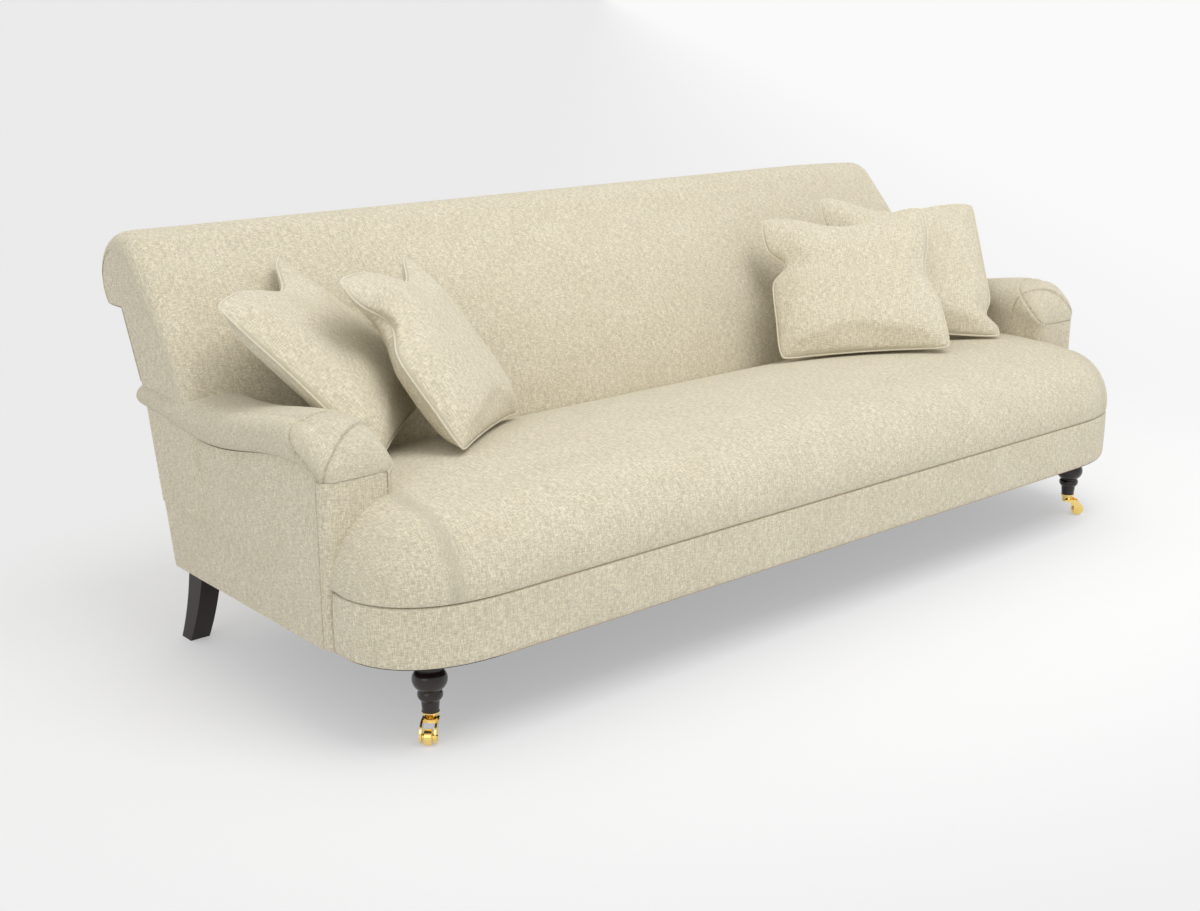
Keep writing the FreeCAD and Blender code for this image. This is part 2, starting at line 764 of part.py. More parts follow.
def make_front_legs():
    """Turned legs: collar, large bulb, neck, small ring and a shaft let into the castor cup."""
    tenon_z = cup_base_z + cup_floor
    stops = [
        (0, frame_bottom_z),
        (leg_collar_radius, frame_bottom_z),
        (leg_collar_radius, leg_collar_z),
        (leg_shoulder_radius, leg_shoulder_z),
        (leg_neck_radius, leg_neck_z),
        (leg_neck_radius, leg_neck_z - leg_neck_height),
        (leg_shaft_radius, leg_shaft_z),
        (leg_foot_radius, cup_rim_z),
        (tenon_top_radius, cup_rim_z),
        (tenon_low_radius, tenon_z),
        (0, tenon_z),
        (0, frame_bottom_z),
    ]
    swells = {3: (leg_bulb_radius, leg_bulb_z), 5: (leg_ring_radius, leg_ring_z)}
    outline = [(stops[i], swells.get(i), stops[i + 1]) for i in range(len(stops) - 1)]
    leg = revolved(outline, front_leg_x, front_leg_y)
    save_pair(leg.cut(bolt_hole(front_leg_x, front_leg_y)), "front_leg")


def make_rear_legs():
    """Square legs swept backwards, tapering to the foot."""
    top = frame_bottom_z
    half = top / 2
    front_middle = (rear_leg_top_y + rear_leg_foot_y) / 2 - rear_leg_sweep
    rear_top = rear_leg_top_y + rear_leg_top_depth
    rear_foot = rear_leg_foot_y + rear_leg_foot_depth
    rear_middle = (rear_top + rear_foot) / 2 - rear_leg_sweep
    x = rear_leg_outer_x - rear_leg_width
    edges = [
        line(vec(x, rear_leg_foot_y, 0), vec(x, rear_foot, 0)),
        arc(vec(x, rear_foot, 0), vec(x, rear_middle, half), vec(x, rear_top, top)),
        line(vec(x, rear_top, top), vec(x, rear_leg_top_y, top)),
        arc(vec(x, rear_leg_top_y, top), vec(x, front_middle, half), vec(x, rear_leg_foot_y, 0)),
    ]
    leg = face_of(edges).extrude(vec(rear_leg_width, 0, 0))
    save_pair(leg.cut(bolt_hole(rear_bolt_x, rear_bolt_y)), "rear_leg")
    bolts = []
    for x, y in ((front_leg_x, front_leg_y), (rear_bolt_x, rear_bolt_y)):
        for side in (left_side, right_side):
            bolts.append(bolt_hole(side * x, y))
    save(Part.makeCompound(bolts), "leg_bolts")


# Castors, drawn for the right front leg and mirrored


def placed_castor(shape):
    """Turn a castor part to its resting direction, under the front leg."""
    shape.rotate(vec(0, 0, 0), vec(0, 0, 1), castor_turn)
    shape.translate(vec(front_leg_x, front_leg_y, 0))
    return shape


def make_castor_cup():
    """Brass cup round the leg's foot, with the pin that the horn turns on."""
    head_z = horn_low_z - end_gap
    floor_z = cup_base_z + cup_floor
    stops = [
        (0, head_z - pin_head_height),
        (pin_head_radius, head_z - pin_head_height),
        (pin_head_radius, head_z),
        (pin_radius, head_z),
        (pin_radius, cup_base_z),
        (cup_base_radius, cup_base_z),
        (cup_rim_radius, cup_rim_z - cup_rim_height),
        (cup_rim_radius, cup_rim_z),
        (tenon_top_radius + tenon_gap, cup_rim_z),
        (tenon_low_radius + tenon_gap, floor_z),
        (0, floor_z),
        (0, head_z - pin_head_height),
    ]
    outline = [(stops[i], None, stops[i + 1]) for i in range(len(stops) - 1)]
    save_pair(revolved(outline, front_leg_x, front_leg_y), "castor_cup")


def make_castor_horn():
    """Two curved cheeks that end in scrolls round the axle, joined by a plate on the pin."""
    low = horn_low_z
    high = low + horn_plate_thickness
    trail = castor_trail
    scroll = horn_scroll_radius
    rear = -horn_plate_rear
    edges = [
        line(vec(rear, 0, high), vec(horn_plate_radius, 0, high)),
        arc(vec(horn_plate_radius, 0, high), vec(trail + 0.45 * scroll, 0, high - 0.8 * scroll),
            vec(trail + scroll, 0, wheel_radius)),
        line(vec(trail + scroll, 0, wheel_radius), vec(trail - scroll, 0, wheel_radius)),
        arc(vec(trail - scroll, 0, wheel_radius), vec(0.45 * trail, 0, low - 0.55 * scroll),
            vec(rear, 0, low)),
        line(vec(rear, 0, low), vec(rear, 0, high)),
    ]
    cheek = face_of(edges).extrude(vec(0, horn_cheek_thickness, 0))
    disc = Part.makeCylinder(scroll, horn_cheek_thickness, vec(trail, 0, wheel_radius), vec(0, 1, 0))
    cheek = cheek.fuse(disc)
    near = cheek.copy()
    near.translate(vec(0, -horn_half_width, 0))
    far = cheek.copy()
    far.translate(vec(0, horn_half_width - horn_cheek_thickness, 0))
    plate = box(rear, horn_plate_radius, -horn_half_width, horn_half_width, low, high)
    plate = plate.fuse(Part.makeCylinder(horn_plate_radius, horn_plate_thickness, vec(0, 0, low)))
    horn = plate.multiFuse([near, far]).removeSplitter()
    horn = horn.cut(Part.makeCylinder(pin_radius + running_gap, high, vec(0, 0, low - 1)))
    axle_room = Part.makeCylinder(axle_radius, 4 * horn_half_width, vec(trail, -2 * horn_half_width, wheel_radius),
                                  vec(0, 1, 0))
    save_pair(placed_castor(horn.cut(axle_room)), "castor_horn")


def spun_on_axle(stops):
    """A piece turned about the axle's line, from its half outline of radius and place."""
    points = [vec(castor_trail + radius, place, wheel_radius) for radius, place in stops]
    body = polygon(points).revolve(vec(castor_trail, 0, wheel_radius), vec(0, 1, 0), 360)
    return placed_castor(body)


def make_castor_wheel():
    """Solid brass wheel with a hub that fills the horn, and the riveted axle through it."""
    hub = horn_half_width - horn_cheek_thickness - end_gap
    half = wheel_width / 2
    bore = axle_radius + running_gap
    edge = wheel_radius - wheel_edge
    stops = [
        (bore, -hub), (hub_radius, -hub), (hub_radius, -half), (edge, -half), (wheel_radius, wheel_edge - half),
        (wheel_radius, half - wheel_edge), (edge, half), (hub_radius, half), (hub_radius, hub), (bore, hub),
    ]
    save_pair(spun_on_axle(stops), "castor_wheel")
    out = horn_half_width
    head = out + axle_head_height
    stops = [(0, -head), (axle_head_radius, -head), (axle_head_radius, -out), (axle_radius, -out),
             (axle_radius, out), (axle_head_radius, out), (axle_head_radius, head), (0, head)]
    save_pair(spun_on_axle(stops), "castor_axle")


# Scatter cushions


def cushion_wire(y, half, corner, draw):
    """A square with rounded corners, its sides drawn in between them."""
    slope = corner * (1 - math.sqrt(0.5))
    flat = half - corner
    edges = []
    for quarter in range(4):
        turn = quarter * 90
        side = arc(vec(-flat, y, half), vec(0, y, half - draw), vec(flat, y, half))
        bend = arc(vec(flat, y, half), vec(half - slope, y, half - slope), vec(half, y, flat))
        for edge in (side, bend):
            edge.rotate(vec(0, 0, 0), vec(0, 1, 0), turn)
            edges.append(edge)
    return Part.Wire(edges)


def cushion_half(size, thickness):
    """Half a cushion, from the seam at its edge up to its crown."""
    half = size / 2
    rise = thickness / 2
    levels = [
        (0.0, 1.0, cushion_corner, cushion_draw),
        (0.5, 0.84, 1.6 * cushion_corner, 0.3 * cushion_draw),
        (0.84, 0.60, 2.2 * cushion_corner, -0.3 * cushion_draw),
        (1.0, 0.26, 1.8 * cushion_corner, -0.2 * cushion_draw),
    ]
    wires = [cushion_wire(-rise * up, half * reach, corner, draw) for up, reach, corner, draw in levels]
    return Part.makeLoft(wires, True, False)


def whole(shape):
    """The drawn half and its mirror image behind the seam."""
    return [shape, shape.mirror(vec(0, 0, 0), vec(0, 1, 0))]


def placed_cushion(shape, place, turns):
    """Lean a cushion back, turn it in plan, and set it in its place."""
    turn, lean, spin = turns
    shape.rotate(vec(0, 0, 0), vec(0, 1, 0), -spin)
    shape.rotate(vec(0, 0, 0), vec(1, 0, 0), -lean)
    shape.rotate(vec(0, 0, 0), vec(0, 0, 1), turn)
    shape.translate(vec(*place))
    return shape


def make_cushion(name, size, place, turns):
    """A cover of two panels sewn together at the edge, and the feather pad inside it."""
    inner_size = size - 4 * cushion_cloth
    inner_thickness = cushion_thickness - 2 * cushion_cloth
    panel = cushion_half(size, cushion_thickness).cut(cushion_half(inner_size, inner_thickness))
    cover = Part.makeCompound(whole(panel))
    pad_half = cushion_half(inner_size - 2 * padding_gap, inner_thickness - 2 * padding_gap)
    front, rear = whole(pad_half)
    save(placed_cushion(cover, place, turns), "cushion_cover_" + name)
    save(placed_cushion(front.fuse(rear).removeSplitter(), place, turns), "cushion_pad_" + name)


os.makedirs("parts", exist_ok=True)
make_seat_frame()
make_leg_blocks()
make_back_frame()
make_arm_frame()
make_seat_support()
make_back_webbing()
make_seat()
make_border()
make_arms()
make_back()
make_front_legs()
make_rear_legs()
make_castor_cup()
make_castor_horn()
make_castor_wheel()
make_cushion("front_right", front_cushion_size, front_right_place, front_right_turn)
make_cushion("rear_right", rear_cushion_size, rear_right_place, rear_right_turn)
make_cushion("front_left", front_cushion_size, front_left_place, front_left_turn)
make_cushion("rear_left", rear_cushion_size, rear_left_place, rear_left_turn)
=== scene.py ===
import bpy, bmesh, math
import numpy as np
from mathutils import Matrix, Vector


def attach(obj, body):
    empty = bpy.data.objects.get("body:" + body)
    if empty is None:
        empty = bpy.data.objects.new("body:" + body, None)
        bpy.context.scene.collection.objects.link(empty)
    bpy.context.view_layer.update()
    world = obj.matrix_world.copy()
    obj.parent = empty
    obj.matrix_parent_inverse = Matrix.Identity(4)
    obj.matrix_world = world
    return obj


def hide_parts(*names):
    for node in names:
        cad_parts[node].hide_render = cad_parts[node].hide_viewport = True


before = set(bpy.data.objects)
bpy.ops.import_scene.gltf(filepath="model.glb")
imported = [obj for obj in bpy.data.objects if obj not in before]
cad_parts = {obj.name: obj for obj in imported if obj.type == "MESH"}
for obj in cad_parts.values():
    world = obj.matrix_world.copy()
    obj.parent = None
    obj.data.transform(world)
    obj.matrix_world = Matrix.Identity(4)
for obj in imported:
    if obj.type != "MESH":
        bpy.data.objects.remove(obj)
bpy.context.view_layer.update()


# Camera, floor and lamps.
# The sofa stands alone in a pale studio, seen from the front left and from a
# little above its back. The floor runs on behind it with no corner.
camera_place = Vector((-2.4787, -2.6221, 1.2981))
camera_view = Vector((0.6246, 0.7296, -0.2786))
camera_data = bpy.data.cameras.new("camera")
camera_data.sensor_width, camera_data.lens = 36.0, 47.667
camera = bpy.data.objects.new("camera", camera_data)
camera.location = camera_place
camera.rotation_euler = camera_view.to_track_quat("-Z", "Y").to_euler()
bpy.context.scene.collection.objects.link(camera)
bpy.context.scene.camera = camera
bpy.context.scene.view_settings.view_transform = "Standard"

floor_reach = 900
floor_mesh = bpy.data.meshes.new("studio_floor")
floor_mesh.from_pydata([(-floor_reach, -floor_reach, 0), (floor_reach, -floor_reach, 0),
                        (floor_reach, floor_reach, 0), (-floor_reach, floor_reach, 0)], [], [(0, 1, 2, 3)])
studio_floor = bpy.data.objects.new("studio_floor", floor_mesh)
bpy.context.scene.collection.objects.link(studio_floor)

# The paper takes the sofa's shadow near it, though there a share of its glow lies over
# that shadow as painted light that makes it paler. Further off it glows a pale grey that
# holds painted shade, a little darker towards the sofa's left, and the same painted shade
# is in the paper's colour near the sofa.
paper = bpy.data.materials.new("studio_paper")
paper.use_nodes = True
nodes, links = paper.node_tree.nodes, paper.node_tree.links
paper_skin = nodes["Principled BSDF"]
paper_skin.inputs["Roughness"].default_value = 1.0
paper_skin.inputs["Specular IOR Level"].default_value = 0.0
floor_place = nodes.new("ShaderNodeTexCoord")


def room_value(operation, first, second):
    sum_node = nodes.new("ShaderNodeVectorMath")
    sum_node.operation = operation
    links.new(first, sum_node.inputs[0])
    sum_node.inputs[1].default_value = second
    return sum_node.outputs


def room_range(value, low, high, first, last):
    spread = nodes.new("ShaderNodeMapRange")
    spread.interpolation_type = "SMOOTHSTEP"
    for socket, number in (("From Min", low), ("From Max", high), ("To Min", first), ("To Max", last)):
        spread.inputs[socket].default_value = number
    links.new(value, spread.inputs["Value"])
    return spread.outputs["Result"]


darker_to_paler, sofa_oval = (0.76, -0.65, 0.0), (0.62, 1.0, 1.0)
dark_end, pale_end = -1.2, 3.4
shadow_near, shadow_far, painted_shadow_lift = 0.75, 1.75, 0.45
across_room = room_value("DOT_PRODUCT", floor_place.outputs["Object"], darker_to_paler)["Value"]
squeezed = room_value("MULTIPLY", floor_place.outputs["Object"], sofa_oval)["Vector"]
from_sofa = room_value("LENGTH", squeezed, (0, 0, 0))["Value"]
# Painted shade: the paper's colour and glow grow darker towards the sofa's left.
painted_falloff = room_range(across_room, dark_end, pale_end, 0.0, 1.0)
paper_with_painted_falloff = nodes.new("ShaderNodeMix")
paper_with_painted_falloff.data_type = "RGBA"
paper_with_painted_falloff.inputs[6].default_value = (0.828, 0.828, 0.828, 1)
paper_with_painted_falloff.inputs[7].default_value = (0.955, 0.955, 0.955, 1)
links.new(painted_falloff, paper_with_painted_falloff.inputs[0])
links.new(paper_with_painted_falloff.outputs[2], paper_skin.inputs["Base Color"])
painted_room_glow = nodes.new("ShaderNodeEmission")
links.new(paper_with_painted_falloff.outputs[2], painted_room_glow.inputs["Color"])
seen_by = nodes.new("ShaderNodeLightPath")
seen = nodes.new("ShaderNodeMath")
seen.operation = "MAXIMUM"
links.new(seen_by.outputs["Is Camera Ray"], seen.inputs[0])
links.new(seen_by.outputs["Is Glossy Ray"], seen.inputs[1])
far_and_seen = nodes.new("ShaderNodeMath")
far_and_seen.operation = "MULTIPLY"
links.new(seen.outputs[0], far_and_seen.inputs[0])
# Painted light: near the sofa a share of glow lies over the real shadow and makes it paler.
links.new(room_range(from_sofa, shadow_near, shadow_far, painted_shadow_lift, 1.0), far_and_seen.inputs[1])
room_blend = nodes.new("ShaderNodeMixShader")
links.new(far_and_seen.outputs[0], room_blend.inputs[0])
links.new(paper_skin.outputs[0], room_blend.inputs[1])
links.new(painted_room_glow.outputs[0], room_blend.inputs[2])
links.new(room_blend.outputs[0], nodes["Material Output"].inputs["Surface"])
studio_floor.data.materials.append(paper)

studio_air = bpy.data.worlds.new("studio_air")
studio_air.use_nodes = True
studio_air.node_tree.nodes["Background"].inputs["Color"].default_value = (1.0, 1.0, 1.0, 1)
studio_air.node_tree.nodes["Background"].inputs["Strength"].default_value = 0.80
bpy.context.scene.world = studio_air


def soft_lamp(name, place, aim, width, power):
    """A large square diffuser lamp, hung at a place and turned to a point."""
    data = bpy.data.lights.new(name, "AREA")
    data.shape = "SQUARE"
    data.size = width
    data.energy = power
    lamp = bpy.data.objects.new(name, data)
    lamp.location = place
    lamp.rotation_euler = (Vector(aim) - Vector(place)).to_track_quat("-Z", "Y").to_euler()
    bpy.context.scene.collection.objects.link(lamp)


soft_lamp("top_lamp", (0.3, -2.0, 4.8), (0, 0, 0.4), 3.2, 120)
soft_lamp("left_lamp", (-4.6, -1.6, 2.6), (0, 0, 0.4), 2.6, 22)


# Timber frame.
# Sawn beech rails, posts, boards and corner blocks, glued and bolted together.
# Upholstery covers nearly all of it.
def sawn_timber(name, pale, dark, along):
    """Bare wood with its grain drawn out along one direction."""
    wood = bpy.data.materials.new(name)
    wood.use_nodes = True
    nodes, links = wood.node_tree.nodes, wood.node_tree.links
    skin = nodes["Principled BSDF"]
    skin.inputs["Roughness"].default_value = 0.7
    place = nodes.new("ShaderNodeTexCoord")
    drawn = nodes.new("ShaderNodeMapping")
    drawn.inputs["Scale"].default_value = along
    grain = nodes.new("ShaderNodeTexNoise")
    grain.inputs["Scale"].default_value = 4.0
    grain.inputs["Detail"].default_value = 6.0
    grain.inputs["Roughness"].default_value = 0.62
    tone = nodes.new("ShaderNodeMix")
    tone.data_type = "RGBA"
    tone.inputs[6].default_value = dark
    tone.inputs[7].default_value = pale
    pores = nodes.new("ShaderNodeBump")
    pores.inputs["Strength"].default_value = 0.25
    pores.inputs["Distance"].default_value = 0.0006
    links.new(place.outputs["Object"], drawn.inputs["Vector"])
    links.new(drawn.outputs["Vector"], grain.inputs["Vector"])
    links.new(grain.outputs["Fac"], tone.inputs[0])
    links.new(tone.outputs[2], skin.inputs["Base Color"])
    links.new(grain.outputs["Fac"], pores.inputs["Height"])
    links.new(pores.outputs["Normal"], skin.inputs["Normal"])
    return wood


def finish_nodes(names, material):
    """Give drawn parts their finish."""
    for name in names:
        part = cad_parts[name]
        part.data.materials.clear()
        part.data.materials.append(material)


beech_pale, beech_dark = (0.66, 0.47, 0.29, 1), (0.42, 0.26, 0.14, 1)
rail_beech = sawn_timber("rail_beech", beech_pale, beech_dark, (1.2, 22, 22))
side_beech = sawn_timber("side_beech", beech_pale, beech_dark, (22, 1.2, 22))
post_beech = sawn_timber("post_beech", beech_pale, beech_dark, (22, 22, 1.2))
finish_nodes(["front_rail", "back_rail", "back_top_rail", "back_tack_rail", "front_corner_block_left",
              "front_corner_block_right"], rail_beech)
finish_nodes(["side_rail_left", "side_rail_right", "seat_cross_rails", "arm_board_left", "arm_board_right"],
             side_beech)
finish_nodes(["leg_blocks", "arm_stump_left", "arm_stump_right", "back_post_left", "back_post_right",
              "back_centre_post"], post_beech)


# Springs, webbing, platform and wadding.
# Drawn steel zigzag springs carry a hessian platform, jute webbing crosses the
# back, and layered fibre wadding is shaped over both. None of it shows.
def plain_finish(name, colour, roughness, metal, fleck, fleck_scale):
    """A hidden material with a little variation in its tone."""
    stuff = bpy.data.materials.new(name)
    stuff.use_nodes = True
    nodes, links = stuff.node_tree.nodes, stuff.node_tree.links
    skin = nodes["Principled BSDF"]
    skin.inputs["Roughness"].default_value = roughness
    skin.inputs["Metallic"].default_value = metal
    place = nodes.new("ShaderNodeTexCoord")
    mottle = nodes.new("ShaderNodeTexNoise")
    mottle.inputs["Scale"].default_value = fleck_scale
    mottle.inputs["Detail"].default_value = 4.0
    tone = nodes.new("ShaderNodeMix")
    tone.data_type = "RGBA"
    tone.inputs[6].default_value = colour
    tone.inputs[7].default_value = fleck
    nap = nodes.new("ShaderNodeBump")
    nap.inputs["Strength"].default_value = 0.2
    nap.inputs["Distance"].default_value = 0.0008
    links.new(place.outputs["Object"], mottle.inputs["Vector"])
    links.new(mottle.outputs["Fac"], tone.inputs[0])
    links.new(tone.outputs[2], skin.inputs["Base Color"])
    links.new(mottle.outputs["Fac"], nap.inputs["Height"])
    links.new(nap.outputs["Normal"], skin.inputs["Normal"])
    return stuff


spring_wire = plain_finish("spring_wire", (0.30, 0.31, 0.33, 1), 0.35, 1.0, (0.42, 0.42, 0.43, 1), 60)
bolt_zinc = plain_finish("bolt_zinc", (0.60, 0.60, 0.61, 1), 0.30, 1.0, (0.70, 0.70, 0.71, 1), 90)
hessian = plain_finish("hessian", (0.42, 0.32, 0.20, 1), 0.95, 0.0, (0.55, 0.44, 0.28, 1), 300)
jute = plain_finish("jute_webbing", (0.22, 0.19, 0.15, 1), 0.95, 0.0, (0.36, 0.31, 0.24, 1), 220)
wadding = plain_finish("fibre_wadding", (0.80, 0.78, 0.73, 1), 1.0, 0.0, (0.88, 0.86, 0.82, 1), 40)
finish_nodes(["seat_springs"], spring_wire)
finish_nodes(["leg_bolts"], bolt_zinc)
finish_nodes(["seat_platform"], hessian)
finish_nodes(["back_webbing"], jute)
finish_nodes(["seat_padding", "back_padding", "arm_padding_left", "arm_padding_right"], wadding)


# Seat cover.
# One piece of slubbed oatmeal linen pulled over the wadded seat, rounded at
# the nose and corners, and turned under at the seam with the border.
def linen(name, cream, shade, fleck):
    """Slubbed plain-weave linen: uneven threads both ways, with darker flecks in them."""
    cloth = bpy.data.materials.new(name)
    cloth.use_nodes = True
    nodes, links = cloth.node_tree.nodes, cloth.node_tree.links
    skin = nodes["Principled BSDF"]
    skin.inputs["Roughness"].default_value = 0.9
    skin.inputs["Specular IOR Level"].default_value = 0.2
    skin.inputs["Sheen Weight"].default_value = 0.18
    skin.inputs["Sheen Roughness"].default_value = 0.55
    cut = nodes.new("ShaderNodeUVMap")
    cut.uv_map = "weave"

    def threads(along, across, detail):
        """Noise drawn out along one way of the cloth, in threads per metre."""
        drawn = nodes.new("ShaderNodeMapping")
        drawn.inputs["Scale"].default_value = (along, across, 1.0)
        noise = nodes.new("ShaderNodeTexNoise")
        noise.noise_dimensions = "2D"
        noise.inputs["Scale"].default_value = 1.0
        noise.inputs["Detail"].default_value = detail
        noise.inputs["Roughness"].default_value = 0.6
        links.new(cut.outputs["UV"], drawn.inputs["Vector"])
        links.new(drawn.outputs["Vector"], noise.inputs["Vector"])
        return noise.outputs["Fac"]

    def between(value, low, high):
        spread = nodes.new("ShaderNodeMapRange")
        spread.inputs["From Min"].default_value = low
        spread.inputs["From Max"].default_value = high
        links.new(value, spread.inputs["Value"])
        return spread.outputs["Result"]

    def blend(kind, amount, first, second):
        mix = nodes.new("ShaderNodeMix")
        mix.data_type = "RGBA"
        mix.blend_type = kind
        for socket, source in ((mix.inputs[0], amount), (mix.inputs[6], first), (mix.inputs[7], second)):
            if isinstance(source, bpy.types.NodeSocket):
                links.new(source, socket)
            else:
                socket.default_value = source
        return mix.outputs[2]

    def add(first, second, share):
        total = nodes.new("ShaderNodeMath")
        total.operation = "MULTIPLY_ADD"
        total.inputs[1].default_value = share
        links.new(second, total.inputs[0])
        links.new(first, total.inputs[2])
        return total.outputs[0]

    weft = threads(70, 560, 2.0)
    warp = threads(560, 70, 2.0)
    weft_fleck = between(threads(90, 560, 2.0), 0.55, 0.82)
    warp_fleck = between(threads(560, 90, 2.0), 0.56, 0.84)
    slub = threads(260, 13, 2.0)
    mottle = threads(9, 12, 3.0)
    base = blend("MIX", between(add(weft, warp, 1.0), 0.84, 1.20), shade, cream)
    base = blend("MIX", between(mottle, 0.30, 0.75), base, blend("MULTIPLY", 1.0, base, (0.955, 0.95, 0.93, 1)))
    base = blend("MIX", between(slub, 0.42, 0.66), base, blend("MULTIPLY", 1.0, base, (0.91, 0.905, 0.89, 1)))
    base = blend("MIX", weft_fleck, base, fleck)
    base = blend("MIX", warp_fleck, base, fleck)
    links.new(base, skin.inputs["Base Color"])

    over = nodes.new("ShaderNodeTexWave")
    over.bands_direction = "X"
    under = nodes.new("ShaderNodeTexWave")
    under.bands_direction = "Y"
    for weave in (over, under):
        weave.inputs["Scale"].default_value = 190.0
        weave.inputs["Distortion"].default_value = 1.4
        weave.inputs["Detail"].default_value = 1.0
        weave.inputs["Detail Scale"].default_value = 0.6
        links.new(cut.outputs["UV"], weave.inputs["Vector"])
    relief = add(add(add(over.outputs["Fac"], under.outputs["Fac"], 1.0), weft, 2.2), warp, 2.2)
    bump = nodes.new("ShaderNodeBump")
    bump.inputs["Strength"].default_value = 0.55
    bump.inputs["Distance"].default_value = 0.0007
    links.new(relief, bump.inputs["Height"])
    links.new(bump.outputs["Normal"], skin.inputs["Normal"])
    return cloth


cover_linen = linen("cover_linen", (0.86, 0.79, 0.61, 1), (0.62, 0.56, 0.42, 1), (0.42, 0.39, 0.30, 1))


def bow(start, middle, end, count):
    """Places along the arc through three points."""
    a, b, c = (np.array(p, float) for p in (start, middle, end))
    d = 2 * (a[0] * (b[1] - c[1]) + b[0] * (c[1] - a[1]) + c[0] * (a[1] - b[1]))
    if abs(d) < 1e-12:
        return a + (c - a) * np.linspace(0, 1, count)[:, None]
    ux = ((a @ a) * (b[1] - c[1]) + (b @ b) * (c[1] - a[1]) + (c @ c) * (a[1] - b[1])) / d
    uy = ((a @ a) * (c[0] - b[0]) + (b @ b) * (a[0] - c[0]) + (c @ c) * (b[0] - a[0])) / d
    turn = [math.atan2(p[1] - uy, p[0] - ux) for p in (a, b, c)]
    way = 1 if (a[0] - ux) * (b[1] - uy) - (a[1] - uy) * (b[0] - ux) > 0 else -1
    sweep = (turn[2] - turn[0]) * way % (2 * math.pi) * way
    angles = turn[0] + sweep * np.linspace(0, 1, count)
    return np.stack([ux + math.hypot(a[0] - ux, a[1] - uy) * np.cos(angles),
                     uy + math.hypot(a[0] - ux, a[1] - uy) * np.sin(angles)], 1)


def cloth_mesh(name, grid, turned=False):
    """A piece of cloth from rows of points, with its weave measured along the cloth."""
    rows, columns = grid.shape[:2]
    across = np.concatenate([[0], np.cumsum(np.linalg.norm(np.diff(grid, axis=0), axis=2).mean(1))])
    along = np.concatenate([[0], np.cumsum(np.linalg.norm(np.diff(grid, axis=1), axis=2).max(0))])
    faces = []
    for i in range(rows - 1):
        for j in range(columns - 1):
            quad = (i * columns + j, (i + 1) * columns + j, (i + 1) * columns + j + 1, i * columns + j + 1)
            faces.append(quad[::-1] if turned else quad)
    mesh = bpy.data.meshes.new(name)
    mesh.from_pydata(grid.reshape(-1, 3).tolist(), [], faces)
    weave = mesh.uv_layers.new(name="weave")
    for loop in mesh.loops:
        i, j = divmod(loop.vertex_index, columns)
        weave.data[loop.index].uv = (across[i], along[j])
    mesh.shade_smooth()
    piece = bpy.data.objects.new(name, mesh)
    bpy.context.scene.collection.objects.link(piece)
    return piece


def smoothed(piece, levels):
    """Subdivide a piece for good and keep the result."""
    rounder = piece.modifiers.new("rounder", "SUBSURF")
    rounder.levels = levels
    rounder.render_levels = levels
    bpy.context.view_layer.update()
    made = bpy.data.meshes.new_from_object(piece.evaluated_get(bpy.context.evaluated_depsgraph_get()))
    piece.modifiers.clear()
    piece.data = made


seat_half, seat_front, seat_rear = 1.128, -0.520, 0.124
seam_height = 0.283
seat_rise, seat_shoulder, seat_end, seat_bulge = 0.150, 0.120, 0.190, 0.008
end_power = 2.7
corner_wide, corner_deep, corner_power = 0.262, 0.172, 2.7
seat_swell, seat_run, crown_rise, rear_rise, rear_tuck = 0.006, 0.220, 0.012, 0.098, 0.012
# At its very ends the seat's cloth lies in front of the arms and stops there.
beside_arm_x, before_arm_y = 0.992, -0.305


def front_line(x, inset=0.0):
    """How far forward the rounded plan of the seat reaches at a place along it."""
    past = abs(x) - (seat_half - corner_wide)
    deep, wide = corner_deep - inset, corner_wide - inset
    middle = seat_front + corner_deep
    if past <= 0:
        return middle - deep
    return middle - deep * math.sqrt(max(0.0, 1 - min(1.0, past / wide) ** corner_power))


def seat_section(x):
    """The seat's cloth from the border seam over the nose and back to the tuck."""
    end_in = min(1.0, (seat_half - abs(x)) / seat_end)
    share = math.sqrt(max(0.0, 1 - (1 - end_in) ** end_power))
    middle = 1 - (x / seat_half) ** 2
    front = front_line(x)
    rise = seat_rise * share + seat_swell * middle
    slope = math.sqrt(0.5)
    nose = (front, seam_height + 0.0012)
    top = (front + seat_shoulder, seam_height + rise)
    bend = (front + seat_shoulder * (1 - slope) - seat_bulge * share, seam_height + rise * slope)
    crown = (front + seat_shoulder + seat_run, seam_height + rise + crown_rise * share)
    rear = (seat_rear + rear_tuck, seam_height + rear_rise * share)
    tuck = [(front + 0.010, seam_height - 0.0002), (front + 0.0035, seam_height + 0.0002)]
    places = np.vstack([tuck, bow(nose, bend, top, 22), bow(top, crown, rear, 40)[1:]])
    if abs(x) > beside_arm_x:
        places[:, 0] = np.minimum(places[:, 0], before_arm_y)
    return np.column_stack([np.full(len(places), x), places])


ends = seat_half - seat_end * 1.1 * (1 - np.cos(np.linspace(0.03, 0.5 * math.pi, 20)))
between_ends = np.linspace(-ends[-1], ends[-1], 92)
seat_places = np.concatenate([-ends, between_ends[1:-1], ends[::-1]])
seat_grid = np.array([seat_section(x) for x in seat_places])
seat_cover = cloth_mesh("seat_linen", seat_grid, turned=True)
smoothed(seat_cover, 1)
seat_cover.data.materials.append(cover_linen)
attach(seat_cover, "sofa")
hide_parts("seat_cover", "seat_padding")


# Border.
# A straight-cut band of the same linen, machine sewn to the seat cover and
# stapled under the rails, running from one arm front round to the other.
border_low, border_top = 0.1648, 0.2818
border_end_y = -0.3165


def plan_run(inset, count):
    """The border's line from the left arm, round both corners, to the right arm."""
    side = []
    for turn in np.linspace(0, 0.5 * math.pi, 26):
        reach = max(0.0, math.cos(turn)) ** (2 / corner_power)
        side.append((seat_half - corner_wide + (corner_wide - inset) * reach,
                     seat_front + corner_deep - (corner_deep - inset) * math.sin(turn)))
    right = [(seat_half - inset, border_end_y)] + side
    left = [(-x, y) for x, y in right]
    straight = [(x, seat_front + inset) for x in np.linspace(-right[-1][0], right[-1][0], count)[1:-1]]
    return np.array(left + straight + right[::-1])


